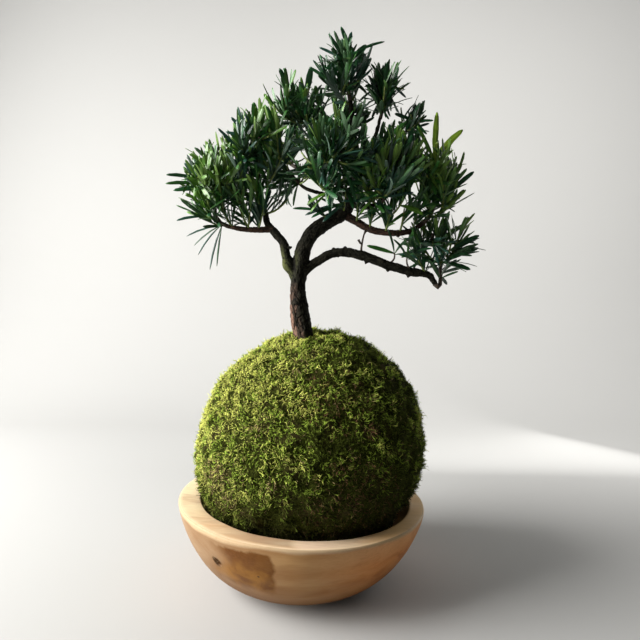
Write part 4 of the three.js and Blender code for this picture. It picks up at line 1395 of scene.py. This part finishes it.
def mossBase():
    bm = bmesh.new()
    bmesh.ops.create_icosphere(bm, subdivisions=7, radius=1)
    headings = np.array([vert.co.normalized()[:] for vert in bm.verts])
    for vert, spot in zip(bm.verts, onBall(headings, moss["sunk"])):
        vert.co = spot
    bm.normal_update()
    for vert in bm.verts:
        if vert.co.z > moss["floor"] + 0.001:
            vert.co += vert.normal * noise.noise(vert.co * 420) * 0.0007
    mesh = meshOf(bm, "mossBall")
    material, add, feed = newMaterial("mossPeat", peatTints["plain"], 0.95, Specular_IOR_Level=0.05)
    fine = cloudy(add, placed(add), 700.0, 4.0, 0.7)
    patch = cloudy(add, placed(add), 60.0, 3.0)
    colour = tinted(add, ranged(add, fine, 0.38, 0.62), peatTints["dark"], peatTints["light"])
    feed("Base Color", tinted(add, ranged(add, patch, 0.5, 0.7, 0.0, 0.6), colour, peatTints["brown"]))
    feed("Normal", bumped(add, fine, 0.0015, 0.9))
    finishPiece("mossBall", mesh, [material], ["moss_ball"])
    print("moss base", len(mesh.polygons), "faces")


# A sprig is a short curled strand that comes up off the ball and lies down along it.
def sprigShape(spot):
    feathered = float(onLine(spot.z, ((0, 0.7), (0.45, 1), (1, 1))))
    return Vector((spot.x * feathered, spot.y * feathered, spot.z))


# The directions and feet of the sprigs, spread evenly over the ball by the golden angle, then shaken.
# None grows low in the bowl, round the trunk or in a few small holes.
def sprigFeet(rng):
    count = moss["sprigs"]
    z = 1 - 2 * (np.arange(count) + 0.5) / count
    angle = np.arange(count) * goldenAngle
    ring = np.sqrt(1 - z * z)
    even = np.column_stack([ring * np.cos(angle), ring * np.sin(angle), z])
    headings = unit(even + rng.normal(0, moss["shake"], (count, 3)))
    roots = onBall(headings, moss["sunk"] + moss["rootHeight"])
    fromTrunk = np.linalg.norm(roots[:, :2] - np.array(limbs["trunk"][1][:2]), axis=1)
    isClear = (fromTrunk > moss["trunkGap"]) | (roots[:, 2] < moss["trunkAbove"])
    isWhole = cloudAt(roots, moss["holeScale"]) > moss["holesBelow"]
    keep = (roots[:, 2] > moss["lowest"]) & isClear & isWhole
    return headings[keep], roots[keep]


# The bend points and tips. Sprigs stand in small clumps that lean together, with gaps of shade between.
def sprigCurves(rng, headings, roots, clump):
    count = len(roots)
    leaning = np.array([noise.noise_vector(Vector(root) * moss["leanScale"])[:] for root in roots])
    aside = unit(np.cross(headings, leaning * moss["together"] + rng.normal(0, 1, (count, 3))))
    rise = np.clip(rng.uniform(0.1, 0.9, count) ** 1.2 + clump * 0.9, 0.05, 1.2)
    isTall = rng.random(count) < moss["tallShare"]
    length = moss["length"] * rng.uniform(0.55, 1.25, count) * np.where(isTall, 1.35, 1) * (1 + 0.7 * clump)
    rise = np.where(isTall, 1.1, rise)
    for place, reach, taller in moss["tufts"]:
        near = np.maximum(0, 1 - np.linalg.norm(roots - np.array(place), axis=1) / reach)
        length *= 1 + taller * near * rng.uniform(0.3, 1, count)
        rise = np.where(near > 0.1, 1.3, rise)
    length, rise = length[:, None], rise[:, None]
    sideways = np.cross(headings, aside) * (rng.uniform(-0.8, 0.8, (count, 1)) * length)
    bends = roots + (aside * 0.5 + headings * (0.35 + rise * 0.5)) * length + sideways * 0.6
    tips = roots + aside * (length * (1 - 0.55 * rise)) + headings * (length * (0.05 + rise * 0.55))
    return bends, tips - sideways * 0.4


# The tint of each sprig: freshest on top and to the left, dark to the right and towards the bowl. This is
# partly painted light: sprigs facing the window get the bright tints, those in shade the dark ones, and those
# on the right edge a painted rim light.
def sprigTints(rng, headings, roots, clump):
    count = len(roots)
    coarse = cloudAt(roots, 70) + 0.6 * cloudAt(roots, 25)
    freshAndLit = coarse * 0.7 + clump * 0.75 + rng.normal(0, 0.17, count)
    # painted light and shade: by facing the window, by height above the bowl, and a rim light at the right
    # edge
    freshAndLit += onLine(headings @ unit(np.array(moss["freshAndLitWay"])), moss["freshAndLitFacing"])
    freshAndLit += onLine(roots[:, 2], moss["shadeByHeight"]) + onLine(headings[:, 0], moss["rimLightRight"])
    names = np.where(freshAndLit > moss["greenAbove"], "mossGreen", "mossDeep")
    names = np.where(freshAndLit > moss["limeAbove"], "mossLime", names)
    for place, reach, share, tint in moss["patches"]:
        near = np.linalg.norm(roots - np.array(place), axis=1) / reach
        names[(near < 1) & (rng.random(count) < share * (1 - 0.6 * near))] = tint
    names[rng.random(count) < moss["strawShare"]] = "mossStraw"
    return names


# Painted shade: darker low in the bowl's shade and at the foot of each sprig, where the sprigs shade each
# other.
def mossMaterial(name):
    plain, roughness = mossTints[name]
    material, add, feed = newMaterial(name, plain, roughness, Specular_IOR_Level=0.1)
    shade = ranged(add, cloudy(add, placed(add), 260.0, 2.0), 0.35, 0.65)
    colour = tinted(add, shade, tuple(c * 0.55 for c in plain), tuple(c * 1.25 for c in plain))
    height = add("SeparateXYZ", {0: placed(add)}).outputs[2]
    colour = tinted(add, ranged(add, height, 0.078, 0.125, 0.75, 0.0), colour, mossGloom)
    along = add("Attribute", attribute_name="along").outputs["Fac"]
    # painted shade at the foot of each sprig
    feed("Base Color", tinted(add, ranged(add, along, 0.0, 0.45, 0.75, 0.0), colour, mossGloom))
    feed("Normal", bumped(add, cloudy(add, placed(add), 2500.0, 2.0), 0.0002, 0.6))
    return material


def mossSprigs():
    rng = np.random.default_rng(moss["seed"])
    headings, roots = sprigFeet(rng)
    clump = cloudAt(roots, moss["clumpScale"])
    bends, tips = sprigCurves(rng, headings, roots, clump)
    wide = moss["halfWidth"] * rng.uniform(0.55, 1.3, (len(roots), 1))
    names = sprigTints(rng, headings, roots, clump)
    spots, faces = rodTemplate(3, (0.45,), sprigShape, 0)
    for tint in mossTints:
        material = mossMaterial(tint)
        for name, chosen in inPieces(tint, np.flatnonzero(names == tint), faces):
            parts = (roots[chosen], bends[chosen], tips[chosen], headings[chosen])
            mesh = joinedMesh(name, bentCopies(spots, *parts, wide[chosen], wide[chosen]), faces)
            along = np.tile(spots[:, 2], len(chosen)).astype(np.float32)
            mesh.attributes.new("along", "FLOAT", "POINT").data.foreach_set("value", along)
            finishPiece(name, mesh, [material], ["moss_ball"])
            print(name, len(chosen), "sprigs", len(mesh.polygons), "faces")


mossBase()
mossSprigs()

# The carved bowl.
bowl = {
    "height": 0.076,
    "rimRadius": 0.120,
    "footRadius": 0.046,
    "lipWidth": 0.018,
    "lipRound": 0.0018,
    "lipFoot": (0.0712, 0.0738),  # the pale lip ends here on the outside, on the left and in front
    "innerRound": 0.002,
    "hollowShift": 0.0035,  # the hollow is carved off centre, so the lip is thinner on the right
    "hollowFloor": 0.024,
    "floorRadius": 0.042,
    "rimTilt": 0.032,
    "steps": 288,
    "wallSteps": 30,
    "hollowSteps": 20,
    "scoopDepth": 0.0003,
    "scoopAcross": 0.030,
    "scoopUp": 0.020,
    "scoopFoot": 0.004,  # no scoops below this level
    "waveDepth": 0.0004,
    "rimWave": 0.0006,
    "hole": (-0.0672, -0.0912, 0.0502),
    "holeReach": 0.0060,
    "holeDepth": 0.0055,
    "holeLong": (0.62, -0.45, -0.64),  # the way the hole is longest
    "holeNarrow": 0.62,
    "speck": (-0.0304, -0.1066, 0.0483),
    "speckReach": 0.0014,
}


# The sine and cosine of each step of a quarter turn.
def quarterTurn(steps):
    turns = [i / steps * math.pi / 2 for i in range(1, steps + 1)]
    return [(math.sin(turn), math.cos(turn)) for turn in turns]


def bowlProfile():
    height, rim, foot, lipRound = bowl["height"], bowl["rimRadius"], bowl["footRadius"], bowl["lipRound"]
    hollow, inner = rim - bowl["lipWidth"], bowl["innerRound"]
    floor, floorRadius = bowl["hollowFloor"], bowl["floorRadius"]
    spots = [(0, 0), (foot * 0.5, 0), (foot - 0.001, 0)]
    for sin, cos in quarterTurn(bowl["wallSteps"]):
        spots.append((foot + (rim - foot) * sin**0.9, (height - lipRound) * (1 - cos**1.5)))
    for sin, cos in quarterTurn(7):
        spots.append((rim - lipRound * (1 - cos), height - lipRound * (1 - sin)))
    for i in range(1, 4):
        spots.append((lerp(rim - lipRound, hollow + inner, i / 3), height))
    for sin, cos in quarterTurn(4):
        spots.append((hollow + inner * (1 - sin), height - inner * (1 - cos)))
    for sin, cos in quarterTurn(bowl["hollowSteps"]):
        spots.append((floorRadius + (hollow - floorRadius) * cos**0.8,
                      floor + (height - inner - floor) * (1 - sin**1.3)))
    return spots + [(floorRadius * 0.5, floor), (0, floor)]


# How far the shallow scoops left by the carver's gouge push the wall out.
def scoopAt(angle, z):
    around = bowl["rimRadius"] / bowl["scoopAcross"]
    lane = Vector((math.cos(angle) * around, math.sin(angle) * around, z / bowl["scoopUp"]))
    fadeLow = min(1, (z - bowl["scoopFoot"]) / 0.012)
    fadeHigh = min(1, max(0, (bowl["height"] - z) / 0.006) + 0.25)
    nearest = noise.voronoi(lane)[0][0]
    push = (nearest**2 * 1.6 - 0.55) * bowl["scoopDepth"]
    push += noise.noise(lane * 0.5 + Vector((3, 1, 4))) * bowl["waveDepth"]
    return push * fadeLow * fadeHigh


def bowlMesh():
    bm = bmesh.new()
    line = [bm.verts.new((radius, 0, z)) for radius, z in bowlProfile()]
    edges = [bm.edges.new(pair) for pair in zip(line, line[1:])]
    bmesh.ops.spin(bm, geom=line + edges, cent=(0, 0, 0), axis=(0, 0, 1), angle=2 * math.pi,
                   steps=bowl["steps"], use_merge=True)
    bmesh.ops.remove_doubles(bm, verts=bm.verts[:], dist=1e-6)
    bmesh.ops.recalc_face_normals(bm, faces=bm.faces[:])
    bm.normal_update()
    hollow = bowl["rimRadius"] - bowl["lipWidth"]
    for vert in bm.verts:
        radius = math.hypot(vert.co.x, vert.co.y)
        angle = math.atan2(vert.co.y, vert.co.x)
        z = vert.co.z
        if vert.normal.z > -0.05 and radius < hollow + 0.004:
            vert.co.x += bowl["hollowShift"] * min(1, radius / hollow)
        elif z > bowl["scoopFoot"]:
            push = scoopAt(angle, z)
            vert.co.x += math.cos(angle) * push
            vert.co.y += math.sin(angle) * push
        vert.co.z -= bowl["rimTilt"] * vert.co.x * (z / bowl["height"]) ** 2
        if z > bowl["height"] - 0.004:
            around = Vector((math.cos(angle) * 3, math.sin(angle) * 3, 0))
            vert.co.z += noise.noise(around) * bowl["rimWave"]
    sinkHole(bm, Vector(bowl["hole"]), bowl["holeReach"], bowl["holeDepth"])
    bm.normal_update()
    onWall = [float(vert.normal.xy.dot(vert.co.xy.normalized()) > 0.3) for vert in bm.verts]
    mesh = meshOf(bm, "carvedBowl")
    mesh.attributes.new("onWall", "FLOAT", "POINT").data.foreach_set("value", onWall)
    return mesh


# Pushes a small knot hole into the wall, on a patch of finer faces.
def sinkHole(bm, place, reach, depth):
    near = [face for face in bm.faces if (face.calc_center_median() - place).length < reach * 2.2]
    edges = {edge for face in near for edge in face.edges}
    bmesh.ops.subdivide_edges(bm, edges=list(edges), cuts=5, use_grid_fill=True)
    bm.normal_update()
    inward = Vector((-place.x, -place.y, 0)).normalized()
    long, narrow = Vector(bowl["holeLong"]).normalized(), bowl["holeNarrow"]
    for vert in bm.verts:
        away = vert.co - place
        if away.length < reach * 2.5:
            stretched = math.hypot(away.dot(long) * narrow, (away - long * away.dot(long)).length)
            share = stretched / (reach * narrow)
            if share < 1:
                vert.co += inward * depth * (1 - share**4)


woodTints = {
    "plain": (0.72, 0.52, 0.30),
    "lip": ((0.85, 0.65, 0.410), (0.75, 0.50, 0.290)),
    "lipLeft": (0.88, 0.74, 0.46),
    "lipStreak": (0.50, 0.29, 0.165),
    "lipBrown": (0.205, 0.118, 0.078),
    "lipPalest": (0.84, 0.62, 0.44),
    "lipEdgeHighlight": (0.90, 0.70, 0.46),
    "lipRightLit": (0.92, 0.58, 0.24),
    "lipSideShaded": (0.40, 0.27, 0.145),
    "wallLeft": ((0.335, 0.212, 0.113), (0.27, 0.155, 0.074)),
    "wallFront": ((0.44, 0.250, 0.098), (0.34, 0.170, 0.060)),
    "wallRight": ((0.56, 0.225, 0.062), (0.45, 0.142, 0.026)),
    "wallRightTop": (0.72, 0.42, 0.20),
    "wallStreak": (0.26, 0.115, 0.040),
    "wallFoot": (0.15, 0.058, 0.010),
    "amber": ((0.135, 0.044, 0.001), (0.27, 0.115, 0.014)),
    "amberTop": (0.110, 0.032, 0.001),
    "fibre": (0.28, 0.13, 0.04),
    "hole": (0.014, 0.006, 0.003),
}


# The lip is pale with pinker streaks. Its top is browner to the left of its front, inside an outer edge
# painted paler as a highlight, and palest in front; its right is painted brighter as bounce light and its
# outer side darker as painted shade.
def lipColour(add, x, y, broad, streaks, isOutside):
    colour = tinted(add, ranged(add, broad, 0.38, 0.62), *woodTints["lip"])
    colour = tinted(add, ranged(add, x, -0.075, -0.110, 0.0, 0.8), colour, woodTints["lipLeft"])
    colour = tinted(add, ranged(add, streaks, 0.48, 0.70, 0.0, 0.60), colour, woodTints["lipStreak"])
    squares = worked(add, "ADD", worked(add, "POWER", x, 2.0), worked(add, "POWER", y, 2.0))
    fromAxis = worked(add, "SQRT", squares, 0.0)
    browner = within(add, x, (-0.062, -0.035), (-0.008, 0.002), 0.45)
    browner = worked(add, "MULTIPLY", browner, ranged(add, fromAxis, 0.1135, 0.1165, 1.0, 0.0))
    colour = tinted(add, browner, colour, woodTints["lipBrown"])
    palest = within(add, x, (-0.006, 0.004), (0.02, 0.06), 0.85)
    colour = tinted(add, palest, colour, woodTints["lipPalest"])
    # painted highlight along the lip's rounded outer edge
    colour = tinted(add, ranged(add, fromAxis, 0.1155, 0.1175, 0.0, 0.7), colour, woodTints["lipEdgeHighlight"])
    # painted light: the right of the lip, in the ball's shadow, is painted brighter and more orange as bounce
    # light
    colour = tinted(add, ranged(add, x, 0.045, 0.08, 0.0, 0.85), colour, woodTints["lipRightLit"])
    # painted shade: the lip's outer side is painted darker than its top
    return tinted(add, worked(add, "MULTIPLY", isOutside, 0.75), colour, woodTints["lipSideShaded"])


# The wall is of heartwood, and its tint from left to right is partly painted light: pinker on the left,
# where the window's light falls, and redder on the front and right, as painted brown bounce light in the
# shade. It is paler high up on the right and darker towards the foot.
def wallColour(add, x, z, broad, streaks):
    left = tinted(add, ranged(add, broad, 0.36, 0.64), *woodTints["wallLeft"])
    front = tinted(add, ranged(add, broad, 0.36, 0.64), *woodTints["wallFront"])
    right = tinted(add, ranged(add, streaks, 0.42, 0.66), *woodTints["wallRight"])
    right = tinted(add, ranged(add, z, 0.052, 0.070, 0.0, 0.5), right, woodTints["wallRightTop"])
    # painted light: the tint shifts from left to right with the light
    wall = tinted(add, ranged(add, x, -0.060, -0.005), left, front)
    wall = tinted(add, ranged(add, x, 0.010, 0.065), wall, right)
    wall = tinted(add, ranged(add, streaks, 0.52, 0.74, 0.0, 0.35), wall, woodTints["wallStreak"])
    return tinted(add, ranged(add, z, 0.008, 0.052, 0.8, 0.0), wall, woodTints["wallFoot"])


# The amber figure on the wall, firm along its top and its right, fading out on its left.
def withFigure(add, place, angle, z, sway, wall):
    wobble = ranged(add, cloudy(add, place, 60.0, 4.0, 0.6, 0.6), 0.3, 0.7, -1.0, 1.0)
    bent = worked(add, "MULTIPLY", wobble, 0.012)
    swayed = worked(add, "MULTIPLY", sway, 0.038)
    topLean = ranged(add, z, 0.062, 0.073, -0.026, 0.05)
    lowLean = ranged(add, z, 0.050, 0.056, 0.042, 0.0)
    turned = worked(add, "ADD", angle, bent, swayed, topLean, lowLean)
    lifted = worked(add, "ADD", z, worked(add, "MULTIPLY", wobble, 0.0018))
    figure = within(add, turned, (-2.30, -2.06), (-1.745, -1.715))
    figure = worked(add, "MULTIPLY", figure, within(add, lifted, (0.025, 0.037), (0.0690, 0.0712)), 0.95)
    mottle = cloudy(add, place, 70.0, 3.0, 0.5, 0.4)
    amber = tinted(add, ranged(add, mottle, 0.36, 0.62), *woodTints["amber"])
    amber = tinted(add, ranged(add, lifted, 0.048, 0.066, 0.0, 0.7), amber, woodTints["amberTop"])
    return tinted(add, figure, wall, amber)


def bowlMaterial():
    material, add, feed = newMaterial("paleWood", woodTints["plain"], 0.5, Specular_IOR_Level=0.2)
    place = placed(add)
    x, y, z = add("SeparateXYZ", {0: place}).outputs
    broad = cloudy(add, placed(add, (6, 22, 26), (0, 0.12, 0.25)), 1.6, 3.0, 0.5, 1.2)
    streaks = cloudy(add, placed(add, (7, 40, 60), (0, 0.16, 0.3)), 1.5, 4.0, 0.6, 0.8)
    fibres = cloudy(add, placed(add, (60, 900, 900), (0, 0.1, 0.3)), 1.0, 3.0, 0.7)
    sway = ranged(add, cloudy(add, place, 28.0, 1.0), 0.3, 0.7, -1.0, 1.0)
    isOutside = add("Attribute", attribute_name="onWall").outputs["Fac"]
    lip = lipColour(add, x, y, broad, streaks, isOutside)
    wall = wallColour(add, x, z, broad, streaks)
    wall = withFigure(add, place, worked(add, "ARCTAN2", y, x), z, sway, wall)
    # the wall starts where the lip's foot runs round the bowl, a little wavy
    tilted, waved = worked(add, "MULTIPLY", x, bowl["rimTilt"]), worked(add, "MULTIPLY", sway, 0.0010)
    level = worked(add, "ADD", z, tilted, waved)
    lipFoot = ranged(add, x, -0.065, -0.025, *bowl["lipFoot"])
    isWall = ranged(add, worked(add, "SUBTRACT", level, lipFoot), -0.0014, 0.0010, 1.0, 0.0)
    colour = tinted(add, worked(add, "MULTIPLY", isWall, isOutside), lip, wall)
    colour = tinted(add, ranged(add, fibres, 0.45, 0.75, 0.0, 0.25), colour, woodTints["fibre"])
    # dark walls of the knot hole and a speck beside it
    for name, share in (("hole", 1.0), ("speck", 0.7)):
        reach = bowl[name + "Reach"]
        gap = add("VectorMath", {0: place, 1: bowl[name]}, operation="DISTANCE").outputs["Value"]
        colour = tinted(add, ranged(add, gap, reach * 0.5, reach, share, 0.0), colour, woodTints["hole"])
    feed("Base Color", colour)
    feed("Roughness", ranged(add, broad, 0.3, 0.7, 0.45, 0.6))
    grain = worked(add, "ADD", fibres, worked(add, "MULTIPLY", streaks, 0.5))
    feed("Normal", bumped(add, grain, 0.0002, 0.5))
    return material


finishPiece("carvedBowl", bowlMesh(), [bowlMaterial()], ["bowl"])
print("bowl ready")
